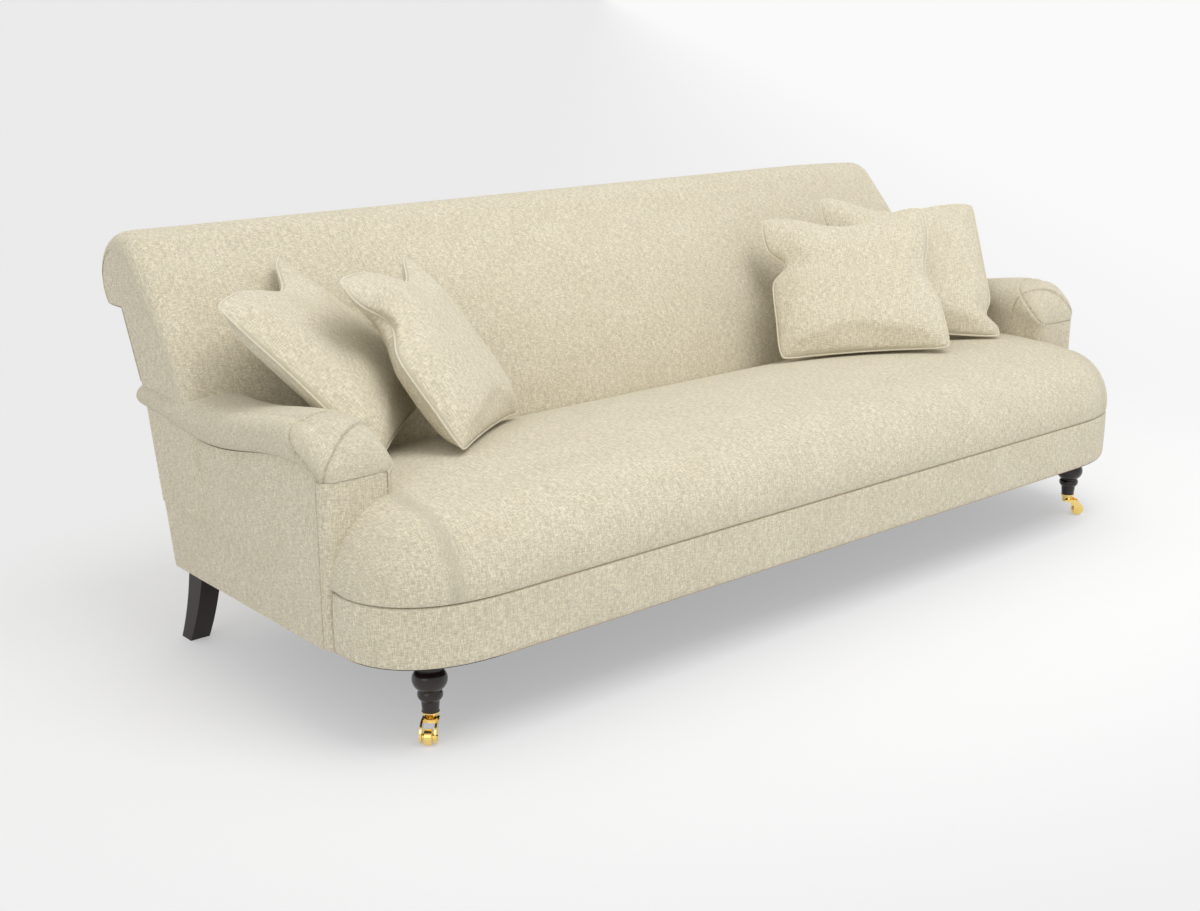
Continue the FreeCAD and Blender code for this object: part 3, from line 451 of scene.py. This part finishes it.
border_section = [(0.030, border_low + 0.0012), (0.010, border_low + 0.0006), (0.004, border_low + 0.0012),
                  (0.0012, border_low + 0.004), (0.0, border_low + 0.010)]
border_section += [(-0.0008 * math.sin(math.pi * t), border_low + 0.010 + t * (border_top - border_low - 0.017))
                   for t in np.linspace(0.05, 0.95, 12)]
border_section += [(0.0, border_top - 0.007), (0.0006, border_top - 0.003), (0.0030, border_top - 0.0006),
                   (0.0075, border_top - 0.0002), (0.012, border_top - 0.0010)]
border_grid = np.array([[(x, y, z) for x, y in plan_run(inset, 70)] for inset, z in border_section])
border = cloth_mesh("border_linen", border_grid.transpose(1, 0, 2), turned=True)
smoothed(border, 1)
border.data.materials.append(cover_linen)
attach(border, "sofa")
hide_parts("border_cover")


# Arms.
# Each roll is wadded over its board and covered in linen that is pulled to the
# outer seam in two overlapping folds at the front. Plain facings lie below.
arm_front, arm_rear = -0.314, 0.404
arm_middle, arm_wide = 1.067, 0.082
arm_side = 1.134
arm_corner = 0.020
dome_deep, arm_level_y = 0.080, 0.130
seam_front, seam_high, seam_low, seam_rear, seam_high_y = 0.482, 0.505, 0.463, 0.488, -0.225
top_front, top_rear = 0.578, 0.540
skirt_foot, skirt_foot_rear, skirt_step_y = 0.335, 0.47, 0.16


def eased(place, start, end, low, high):
    """A soft step from one height to another between two places."""
    share = min(1.0, max(0.0, (place - start) / (end - start)))
    return low + share * share * (3 - 2 * share) * (high - low)


def arm_seam(y):
    """Height of the seam under the roll, outside."""
    if y < seam_high_y:
        return eased(y, arm_front, seam_high_y, seam_front, seam_high)
    if y < arm_level_y:
        return eased(y, seam_high_y, arm_level_y, seam_high, seam_low)
    return eased(y, arm_level_y, arm_rear, seam_low, seam_rear)


def arm_top(y):
    """Height of the roll's crown, which rounds down to the seam in front."""
    dome = arm_front + dome_deep
    top = eased(y, dome, arm_level_y, top_front, top_rear)
    if y < dome:
        reach = (dome - y) / dome_deep
        top = seam_front + (top - seam_front) * math.sqrt(max(0.0, 1 - reach * reach))
    return top


def arm_section(y, drawn, share, foot):
    """One round of the roll cover, from the outer seam over the top to the seat."""
    seam, top = arm_seam(y), arm_top(y)
    rise = (top - seam) * share
    full_rise = max(rise, 0.060)
    nose = min(1.0, (y - arm_front) / dome_deep)
    wide = arm_wide - drawn
    along = min(1.0, max(0.0, (y - arm_front) / (arm_level_y - arm_front)))
    full = 0.87 + along * 0.08 - 0.07 * max(0.0, 1 - nose) ** 2
    panel = arm_side - 0.0034 - drawn
    swell = (arm_middle + wide - panel) * nose * nose * (3 - 2 * nose)
    shoulder = (arm_middle + 0.5 * wide, full * full_rise)
    inner_shoulder = (arm_middle - 0.5 * wide, full * full_rise)
    outer = bow((panel, 0.0), (panel + swell, 0.45 * full_rise), shoulder, 24)
    crown = bow(shoulder, (arm_middle, full_rise), inner_shoulder, 24)[1:]
    inner = bow(inner_shoulder, (arm_middle - 0.92 * wide, 0.5 * full_rise), (arm_middle - wide, 0.0), 24)[1:]
    flat = np.vstack([outer, crown, inner])
    flat[:, 1] = seam + flat[:, 1] * rise / full_rise
    tuck = np.array([[panel - 0.012, seam - 0.004], [panel - 0.003, seam - 0.0015]])
    skirt = np.array([[arm_middle - wide, z] for z in np.linspace(seam, foot, 10)[1:]])
    flat = np.vstack([tuck, flat, skirt])
    lap = 0.0012 * max(0.0, 1 - nose)
    return np.column_stack([flat[:, 0], np.full(len(flat), y - lap), flat[:, 1]])


def corner_draw(y, radius):
    """How far a rounded front corner has come in from the side at a place along it."""
    reach = min(1.0, max(0.0, (arm_front + radius - y) / radius))
    return radius * (1 - math.sqrt(max(0.0, 1 - reach * reach)))


# Each fold: three places on its edge, how high it stands, how far behind the
# edge it dies out, and the height below which it is pulled flat.
folds = [
    ((1.131, -0.300, 0.484), (1.067, -0.209, 0.570), (0.990, -0.262, 0.530), 0.0042, 0.060, 0.486),
    ((1.131, -0.306, 0.484), (1.067, -0.283, 0.556), (1.030, -0.262, 0.560), 0.0036, 0.060, 0.486),
]
fold_edge, fold_fade = 0.0005, 0.004
valley_depth, valley_width = 0.0045, 0.0011


def folded(grid):
    """Raise the cloth behind each fold's edge, with a narrow valley before it."""
    du = np.gradient(grid, axis=0)
    dv = np.gradient(grid, axis=1)
    out = np.cross(dv, du)
    out /= np.maximum(np.linalg.norm(out, axis=2, keepdims=True), 1e-9)
    middle = grid.mean(axis=1, keepdims=True)
    out *= np.sign(((grid - middle) * out).sum(2, keepdims=True).mean())
    raised = grid.copy()
    for a, b, c, height, reach, low in folds:
        a, b, c = np.array(a), np.array(b), np.array(c)
        square = np.cross(b - a, c - a)
        square /= np.linalg.norm(square)
        square *= np.sign(square[1])
        off = (grid - a) @ square
        step = 1 / (1 + np.exp(-off / fold_edge))
        swell = height * step * np.exp(-np.maximum(off, 0) / reach)
        swell -= valley_depth * np.exp(-((off + valley_width) / valley_width) ** 2)
        swell *= 1 / (1 + np.exp(-(grid[:, :, 2] - low) / fold_fade))
        raised += out * swell[:, :, None]
    return raised


for side, name in ((1, "right"), (-1, "left")):
    front_places = list(arm_front + 0.0002 + 0.012 * (1 - np.cos(np.linspace(0, 0.5 * math.pi, 14))))
    front_places += list(np.linspace(arm_front + 0.0130, arm_front + 0.130, 150))
    stations = [(front_places[0], corner_draw(front_places[0], arm_corner), 0.0)]
    stations += [(y, corner_draw(y, arm_corner), 1.0) for y in front_places]
    stations += [(y, 0.0, 1.0) for y in np.linspace(arm_front + 0.134, arm_rear - 0.030, 70)]
    stations += [(arm_rear - 0.020, 0.0006, 0.97), (arm_rear - 0.010, 0.003, 0.88), (arm_rear - 0.004, 0.006, 0.76),
                 (arm_rear, 0.012, 0.58), (arm_rear + 0.0005, 0.030, 0.30), (arm_rear + 0.0005, 0.060, 0.08)]
    roll = folded(np.array([
        arm_section(y, drawn, share, skirt_foot if y < skirt_step_y else skirt_foot_rear)
        for y, drawn, share in stations]))
    roll[:, :, 0] *= side
    cover = cloth_mesh("arm_roll_linen_" + name, roll, turned=side < 0)
    cover.data.materials.append(cover_linen)
    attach(cover, "sofa")
    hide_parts("arm_cover_" + name, "arm_padding_" + name)

    # The facing turns round the arm's outer corner and is sewn to the side panel there.
    inner_side = arm_middle - arm_wide
    turns = np.linspace(0, 0.5 * math.pi, 9)
    plan = [(inner_side, y) for y in np.linspace(-0.272, arm_front + arm_corner, 5)]
    plan += [(inner_side + arm_corner * (1 - math.cos(t)), arm_front + arm_corner * (1 - math.sin(t)))
             for t in turns[1:]]
    plan += [(x, arm_front)
             for x in np.linspace(inner_side + arm_corner + 0.005, arm_side - arm_corner - 0.003, 14)]
    plan += [(arm_side - arm_corner * (1 - math.sin(t)), arm_front + arm_corner * (1 - math.cos(t)))
             for t in turns[1:]]
    plan += [(arm_side, arm_front + arm_corner + 0.002), (arm_side + 0.0004, -0.2895), (arm_side, -0.2882),
             (arm_side - 0.003, -0.2874)]
    heights = [0.1652, 0.1656, 0.168, 0.172] + list(np.linspace(0.18, 0.474, 34)) + [0.478, 0.4808, 0.4822, 0.4815]
    tuck = {0: 0.010, 1: 0.003, 2: 0.0006, len(heights) - 2: 0.0012, len(heights) - 1: 0.006}
    facing_middle, facing_half = 1.0595, 0.0745
    facing_grid = []
    for k, z in enumerate(heights):
        pull = tuck.get(k, 0.0)
        facing_grid.append([(side * (facing_middle + (x - facing_middle) * (1 - pull / facing_half)), y + pull, z)
                            for x, y in plan])
    facing = cloth_mesh("arm_facing_linen_" + name, np.array(facing_grid).transpose(1, 0, 2), turned=side > 0)
    smoothed(facing, 1)
    facing.data.materials.append(cover_linen)
    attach(facing, "sofa")
    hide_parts("arm_facing_" + name)

    # Outside arm panel, stapled under the rail and slipped under the roll's seam.
    side_front, side_run, side_rear = -0.2866, 0.6606, 0.374
    side_foot, side_slack, side_tuck = 0.165, 0.0008, 0.003
    rows = []
    seam_edge = [(0.0, -0.003), (0.0010, 0.0), (0.0024, 0.0007), (0.0045, 0.0007), (0.0075, 0.0001)]
    for run, lift in seam_edge + [(run, 0.0) for run in np.linspace(0.012, side_run, 58)]:
        column = []
        for t in np.linspace(0, 1, 30):
            top_y = min(side_front + run, side_rear)
            z = side_foot + t * (arm_seam(top_y) - side_slack - side_foot)
            rear = 0.2955 + (z - 0.166) / 0.354 * 0.079
            y = side_front + run
            if run > 0.012:
                y = side_front + run / side_run * (min(rear, side_rear) - side_front)
            belly = 0.0006 * math.sin(math.pi * run / side_run) * math.sin(math.pi * t)
            column.append((side * (arm_side + belly + lift - (side_tuck if t > 0.999 else 0.0)), y, z))
        rows.append(column)
    panel = cloth_mesh("outside_arm_linen_" + name, np.array(rows), turned=side < 0)
    smoothed(panel, 1)
    panel.data.materials.append(cover_linen)
    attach(panel, "sofa")
    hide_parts("outside_arm_cover_" + name)


# Back.
# A tight wadded back that leans and scrolls over into a roll, covered in one
# width of linen which turns round both ends, with flat panels at ends and rear.
back_half, back_round, back_draw = 1.139, 0.034, 0.026
roll_y, roll_z, roll_wide = 0.446, 0.756, 0.082
drawn_in, drawn_down = 0.41, 0.73
roll_start, roll_foot = math.radians(133), 0.683
neck_run, neck_rise, back_belly = 0.070, 0.074, 0.022


def outside_back_line(z):
    """How far back the rear panel lies at a height: it leans, and more so above its bend."""
    if z < 0.520:
        return 0.297 + (z - 0.166) / 0.354 * 0.079
    return 0.376 + (z - 0.520) / 0.163 * 0.074


def back_section(drawn, shrink=0.0, rear=0.0, whole=False):
    """The leaning face, neck and roll of the back, seen from the end."""
    foot = 0.1278 + drawn + shrink
    radius = roll_wide - drawn_in * drawn - shrink
    centre = np.array([roll_y + drawn_in * drawn, roll_z - drawn_down * drawn])
    under = roll_foot + shrink
    stop = -math.asin((centre[1] - under) / radius)
    first = centre + radius * np.array([math.cos(roll_start), math.sin(roll_start)])
    neck = first - np.array([neck_run, neck_rise])
    belly = np.array([foot, 0.385])
    chord = neck - belly
    out = np.array([-chord[1], chord[0]]) / np.linalg.norm(chord)
    face = bow(belly, belly + chord * 0.5 + out * back_belly, neck, 40)
    turn = np.linspace(roll_start, stop, 44)
    scroll = centre + radius * np.column_stack([np.cos(turn), np.sin(turn)])
    places = [np.array([[foot, 0.300], [foot, 0.342]]), face, np.linspace(neck, first, 8)[1:-1], scroll]
    end_y = outside_back_line(under) - rear
    places.append(np.array([[scroll[-1][0] * 0.5 + end_y * 0.5, under], [end_y, under]]))
    if whole:
        places.append(np.array([[outside_back_line(z) - rear, z] for z in (0.60, 0.520, 0.40, 0.300)]))
    return np.vstack(places)


end_turns = np.sin(np.linspace(0, 0.5 * math.pi, 12))
back_steps = [(back_half - back_round + back_round * s, back_draw * (1 - math.sqrt(max(0.0, 1 - s * s))))
              for s in end_turns]
back_steps += [(back_half - 0.0002, back_draw + 0.006)]
inner = [(x, 0.0) for x in np.linspace(-(back_half - back_round), back_half - back_round, 92)[1:-1]]
steps = [(-x, d) for x, d in back_steps[::-1]] + inner + back_steps
# Towards its right end the back sits a little lower, as it does in the photograph.
sag_run, sag = 0.34, 0.0085
steps = [(x, d + sag * max(0.0, (x - back_half + sag_run) / sag_run) ** 2) for x, d in steps]
back_grid = []
for x, drawn in steps:
    section = back_section(drawn)
    back_grid.append(np.column_stack([np.full(len(section), x), section]))
inside_back = cloth_mesh("inside_back_linen", np.array(back_grid), turned=True)
smoothed(inside_back, 1)
inside_back.data.materials.append(cover_linen)
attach(inside_back, "sofa")
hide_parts("inside_back_cover", "back_padding")

for side, name in ((1, "right"), (-1, "left")):
    outline = back_section(back_draw + (sag if side > 0 else 0.0), 0.0012, 0.0034, whole=True)
    shape = bmesh.new()
    ring = [shape.verts.new((side * (back_half - 0.0012), y, z)) for y, z in outline]
    rim = [shape.verts.new((side * (back_half - 0.003), y, z)) for y, z in outline]
    shape.faces.new(ring)
    for i in range(len(ring)):
        j = (i + 1) % len(ring)
        shape.faces.new((ring[i], ring[j], rim[j], rim[i]))
    bmesh.ops.recalc_face_normals(shape, faces=shape.faces)
    bmesh.ops.triangulate(shape, faces=shape.faces)
    weave = shape.loops.layers.uv.new("weave")
    for face in shape.faces:
        for loop in face.loops:
            loop[weave].uv = (loop.vert.co.y, loop.vert.co.z)
    mesh = bpy.data.meshes.new("back_end_linen_" + name)
    shape.to_mesh(mesh)
    shape.free()
    end_panel = bpy.data.objects.new("back_end_linen_" + name, mesh)
    bpy.context.scene.collection.objects.link(end_panel)
    end_panel.data.materials.append(cover_linen)
    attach(end_panel, "sofa")
    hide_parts("back_end_panel_" + name)

# The rear panel is as wide as the sides below the rolls, goes in between the
# rolls, and is as wide as the back above them.
rows = []
levels = [(z, arm_side - 0.0005) for z in np.linspace(0.1652, 0.4835, 20)]
levels += [(z, arm_middle - 0.030) for z in np.linspace(0.4836, 0.5404, 5)]
levels += [(z, back_half - 0.001) for z in np.linspace(0.5405, 0.6822, 12)]
for z, half in levels:
    rows.append([(x, outside_back_line(z), z) for x in np.linspace(-half, half, 90)])
outside_back = cloth_mesh("outside_back_linen", np.array(rows).transpose(1, 0, 2), turned=False)
outside_back.data.materials.append(cover_linen)
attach(outside_back, "sofa")
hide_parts("outside_back_cover")


# Dust cloth.
# Thin black bottoming cloth, cut to the plan of the frame and stapled under it
# to keep the wadding's dust in.
cloth_level, cloth_rear = 0.1655, 0.246
bottoming = plain_finish("bottoming_cloth", (0.020, 0.020, 0.021, 1), 0.95, 0.0, (0.035, 0.035, 0.036, 1), 400)
run = plan_run(0.004, 40)
rows = []
for t in np.linspace(0, 1, 8):
    rows.append([(x, y + t * (cloth_rear - y), cloth_level) for x, y in run])
dust_cloth = cloth_mesh("dust_cloth", np.array(rows), turned=False)
dust_cloth.data.materials.append(bottoming)
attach(dust_cloth, "sofa")
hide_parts("dust_cover")


# Legs.
# Turned front legs and swept rear legs of beech, stained nearly black; the
# front ones are lacquered to a gloss and the rear ones are satin.
def stained_beech(name, roughness, coat):
    wood = bpy.data.materials.new(name)
    wood.use_nodes = True
    nodes, links = wood.node_tree.nodes, wood.node_tree.links
    skin = nodes["Principled BSDF"]
    skin.inputs["Roughness"].default_value = roughness
    skin.inputs["Coat Weight"].default_value = coat
    skin.inputs["Coat Roughness"].default_value = 0.08
    skin.inputs["Specular IOR Level"].default_value = 0.30
    place = nodes.new("ShaderNodeTexCoord")
    drawn = nodes.new("ShaderNodeMapping")
    drawn.inputs["Scale"].default_value = (90, 90, 7)
    grain = nodes.new("ShaderNodeTexNoise")
    grain.inputs["Scale"].default_value = 3.0
    grain.inputs["Detail"].default_value = 5.0
    tone = nodes.new("ShaderNodeMix")
    tone.data_type = "RGBA"
    tone.inputs[6].default_value = (0.006, 0.003, 0.003, 1)
    tone.inputs[7].default_value = (0.022, 0.012, 0.010, 1)
    pores = nodes.new("ShaderNodeBump")
    pores.inputs["Strength"].default_value = 0.12
    pores.inputs["Distance"].default_value = 0.0003
    links.new(place.outputs["Object"], drawn.inputs["Vector"])
    links.new(drawn.outputs["Vector"], grain.inputs["Vector"])
    links.new(grain.outputs["Fac"], tone.inputs[0])
    links.new(tone.outputs[2], skin.inputs["Base Color"])
    links.new(grain.outputs["Fac"], pores.inputs["Height"])
    links.new(pores.outputs["Normal"], skin.inputs["Normal"])
    return wood


finish_nodes(["front_leg_left", "front_leg_right"], stained_beech("gloss_stained_beech", 0.25, 0.45))
finish_nodes(["rear_leg_left", "rear_leg_right"], stained_beech("satin_stained_beech", 0.42, 0.0))


# Castors.
# Under each front leg a cup with its pin, a horn with two cheeks, an axle and a
# wheel, all turned or cast in brass, then polished and lacquered.
brass = bpy.data.materials.new("polished_brass")
brass.use_nodes = True
nodes, links = brass.node_tree.nodes, brass.node_tree.links
brass_skin = nodes["Principled BSDF"]
brass_skin.inputs["Metallic"].default_value = 1.0
brass_place = nodes.new("ShaderNodeTexCoord")
brass_rub = nodes.new("ShaderNodeTexNoise")
brass_rub.inputs["Scale"].default_value = 130.0
brass_rub.inputs["Detail"].default_value = 3.0
brass_tone = nodes.new("ShaderNodeMix")
brass_tone.data_type = "RGBA"
brass_tone.inputs[6].default_value = (0.93, 0.66, 0.20, 1)
brass_tone.inputs[7].default_value = (1.0, 0.78, 0.30, 1)
brass_dull = nodes.new("ShaderNodeMapRange")
brass_dull.inputs["To Min"].default_value = 0.10
brass_dull.inputs["To Max"].default_value = 0.24
links.new(brass_place.outputs["Object"], brass_rub.inputs["Vector"])
links.new(brass_rub.outputs["Fac"], brass_tone.inputs[0])
links.new(brass_rub.outputs["Fac"], brass_dull.inputs["Value"])
links.new(brass_tone.outputs[2], brass_skin.inputs["Base Color"])
links.new(brass_dull.outputs["Result"], brass_skin.inputs["Roughness"])
finish_nodes([part + side for part in ("castor_cup_", "castor_horn_", "castor_axle_", "castor_wheel_")
              for side in ("left", "right")], brass)


# Scatter cushions.
# Feather pads in knife-edge linen covers with self piping. Each leans in its
# corner with its ears up, its sides pinched below them and its foot on the seat.
cushion_linen = linen("cushion_linen", (0.88, 0.81, 0.63, 1), (0.64, 0.58, 0.44, 1), (0.44, 0.41, 0.31, 1))
# The piping is the cushions' own linen painted paler, a painted highlight along each corded seam.
piping_linen_painted_highlight = linen("piping_linen_painted_highlight", (0.88, 0.82, 0.66, 1), (0.80, 0.74, 0.58, 1), (0.68, 0.63, 0.50, 1))
cushion_thick = 0.112
cushion_cells = 46
corner_round = 0.035
rear_cut_shift = 0.7


def cushion_panels(size, left, right, dip):
    """Two square panels sewn round their edge, puffed up and drawn in between the corners."""
    line = np.linspace(-1, 1, cushion_cells + 1)
    line = np.sign(line) * (1 - (1 - np.abs(line)) ** 1.25)
    points, place = [], {}

    def pinch(spot, drawn):
        depth, middle, width = drawn
        return depth * math.exp(-((spot - middle) / width) ** 2) * (1 - spot ** 8)

    for face in (-1, 1):
        for i, a in enumerate(line):
            for j, b in enumerate(line):
                edge = i in (0, cushion_cells) or j in (0, cushion_cells)
                if edge and (0, i, j) in place:
                    continue
                side = right if a > 0 else left
                wide = pinch(b, side)
                high = pinch(a, dip) if b > 0 else 0.006 * (1 - a * a)
                corner = 1 - corner_round * (abs(a) * abs(b)) ** 9
                x = (a * size / 2 - a * abs(a) ** 3 * wide) * corner
                z = (b * size / 2 - b * abs(b) ** 3 * high) * corner
                puff = ((1 - abs(a) ** 2.6) * (1 - abs(b) ** 2.6)) ** 0.5 * (1 - 0.16 * b)
                puff *= 1 - 3.5 * max(0.0, wide) * abs(a) ** 3
                key = (0 if edge else face, i, j)
                place[key] = len(points)
                points.append((x, face * puff * cushion_thick * 0.40, z))
    faces = []
    for face in (-1, 1):
        for i in range(cushion_cells):
            for j in range(cushion_cells):
                quad = []
                for p, q in ((i, j), (i + 1, j), (i + 1, j + 1), (i, j + 1)):
                    edge = p in (0, cushion_cells) or q in (0, cushion_cells)
                    quad.append(place[(0 if edge else face, p, q)])
                faces.append(quad if face < 0 else quad[::-1])
    there, back = range(cushion_cells), range(cushion_cells, 0, -1)
    walk = [(i, 0) for i in there] + [(cushion_cells, j) for j in there]
    walk += [(i, cushion_cells) for i in back] + [(0, j) for j in back]
    return points, faces, [place[(0, i, j)] for i, j in walk]


def filled(piece, furthest):
    """Fill a sewn cover with feathers: cloth under light pressure, its points held near their start."""
    start = np.array([v.co for v in piece.data.vertices])
    cloth = piece.modifiers.new("feathers", "CLOTH")
    cloth.settings.quality = 6
    cloth.settings.mass = 0.25
    cloth.settings.tension_stiffness = 18
    cloth.settings.compression_stiffness = 18
    cloth.settings.shear_stiffness = 6
    cloth.settings.bending_stiffness = 0.25
    cloth.settings.use_pressure = True
    cloth.settings.uniform_pressure_force = 4.0
    cloth.settings.effector_weights.gravity = 0.0
    cloth.point_cache.frame_start = 1
    cloth.point_cache.frame_end = 22
    scene = bpy.context.scene
    settled = 20
    for step in range(1, settled + 1):
        scene.frame_set(step)
    seen = piece.evaluated_get(bpy.context.evaluated_depsgraph_get())
    moved = np.array([v.co for v in seen.data.vertices])
    piece.modifiers.clear()
    scene.frame_set(1)
    shift = moved - start
    far = np.linalg.norm(shift, axis=1, keepdims=True)
    shift *= np.minimum(1.0, furthest / np.maximum(far, 1e-9))
    for vertex, place in zip(piece.data.vertices, start + shift):
        vertex.co = place


def piping_tube(name, points, radius):
    """Cord covered in linen on the bias, run round a closed seam."""
    points = np.array(points)
    ahead = np.roll(points, -1, axis=0) - np.roll(points, 1, axis=0)
    ahead /= np.linalg.norm(ahead, axis=1, keepdims=True)
    up = np.array([0.0, 1.0, 0.0])
    out = np.cross(ahead, up)
    out /= np.linalg.norm(out, axis=1, keepdims=True)
    lift = np.cross(out, ahead)
    count, sides = len(points), 8
    ring = []
    for k in range(sides):
        turn = 2 * math.pi * k / sides
        ring.append(points + radius * (math.cos(turn) * out + math.sin(turn) * lift))
    ring = np.array(ring).transpose(1, 0, 2)
    faces = []
    for i in range(count):
        for k in range(sides):
            faces.append((i * sides + k, i * sides + (k + 1) % sides,
                          (i + 1) % count * sides + (k + 1) % sides, (i + 1) % count * sides + k))
    mesh = bpy.data.meshes.new(name)
    mesh.from_pydata(ring.reshape(-1, 3).tolist(), [], faces)
    run = np.concatenate([[0], np.cumsum(np.linalg.norm(np.diff(points, axis=0), axis=1))])
    weave = mesh.uv_layers.new(name="weave")
    for loop in mesh.loops:
        i, k = divmod(loop.vertex_index, sides)
        weave.data[loop.index].uv = (run[i] + 0.7 * radius * k, radius * k)
    mesh.shade_smooth()
    piece = bpy.data.objects.new(name, mesh)
    bpy.context.scene.collection.objects.link(piece)
    return piece


# Each entry: size, place, its turn, lean and spin, then the pinches of its left
# side, right side and top edge as depth, place along the edge and width.
cushions = {
    "front_right": (0.430, (0.5737, -0.0371, 0.6048), (-41.6, 41.4, 4.7),
                    (0.036, 0.28, 0.17), (0.022, 0.08, 0.30), (0.040, 0.00, 0.50)),
    "rear_right": (0.440, (0.8132, -0.0092, 0.6135), (-32.0, 45.0, -3.9),
                   (0.020, 0.20, 0.40), (0.020, -0.66, 0.15), (0.034, -0.10, 0.50)),
    "front_left": (0.430, (-0.6881, -0.0143, 0.6097), (39.9, 37.1, -4.3),
                   (0.078, 0.40, 0.24), (-0.012, 0.10, 0.70), (0.050, 0.38, 0.42)),
    "rear_left": (0.440, (-0.8832, 0.0688, 0.6107), (40.6, 45.2, 3.8),
                  (0.004, 0.10, 0.40), (-0.012, 0.10, 0.70), (0.048, 0.30, 0.42)),
}
for name, (size, place, turns, left, right, dip) in cushions.items():
    points, faces, seam = cushion_panels(size - 0.004, left, right, dip)
    mesh = bpy.data.meshes.new("cushion_" + name)
    mesh.from_pydata(points, [], faces)
    cushion = bpy.data.objects.new("cushion_" + name, mesh)
    bpy.context.scene.collection.objects.link(cushion)
    filled(cushion, 0.016)
    body = np.array([v.co for v in cushion.data.vertices])
    body[:, 1] *= cushion_thick / max(1e-6, np.ptp(body[:, 1]))
    reach = max(np.abs(body[:, 0]).max(), np.abs(body[:, 2]).max())
    body[:, (0, 2)] *= (size / 2 - 0.003) / reach
    for vertex, spot in zip(cushion.data.vertices, body):
        vertex.co = spot
    weave = cushion.data.uv_layers.new(name="weave")
    for loop in cushion.data.loops:
        x, y, z = body[loop.vertex_index]
        weave.data[loop.index].uv = (x + (rear_cut_shift if y > 0 else 0.0), z)
    cushion.data.shade_smooth()
    smoothed(cushion, 1)
    cushion.data.materials.append(cushion_linen)
    welt = piping_tube("piping_" + name, body[seam], 0.0023)
    welt.data.materials.append(piping_linen_painted_highlight)
    turn, lean, spin = (math.radians(a) for a in turns)
    pose = Matrix.Translation(place) @ Matrix.Rotation(turn, 4, "Z")
    pose = pose @ Matrix.Rotation(-lean, 4, "X") @ Matrix.Rotation(-spin, 4, "Y")
    for piece in (cushion, welt):
        piece.data.transform(pose)
        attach(piece, "cushion_" + name)
    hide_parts("cushion_cover_" + name, "cushion_pad_" + name)
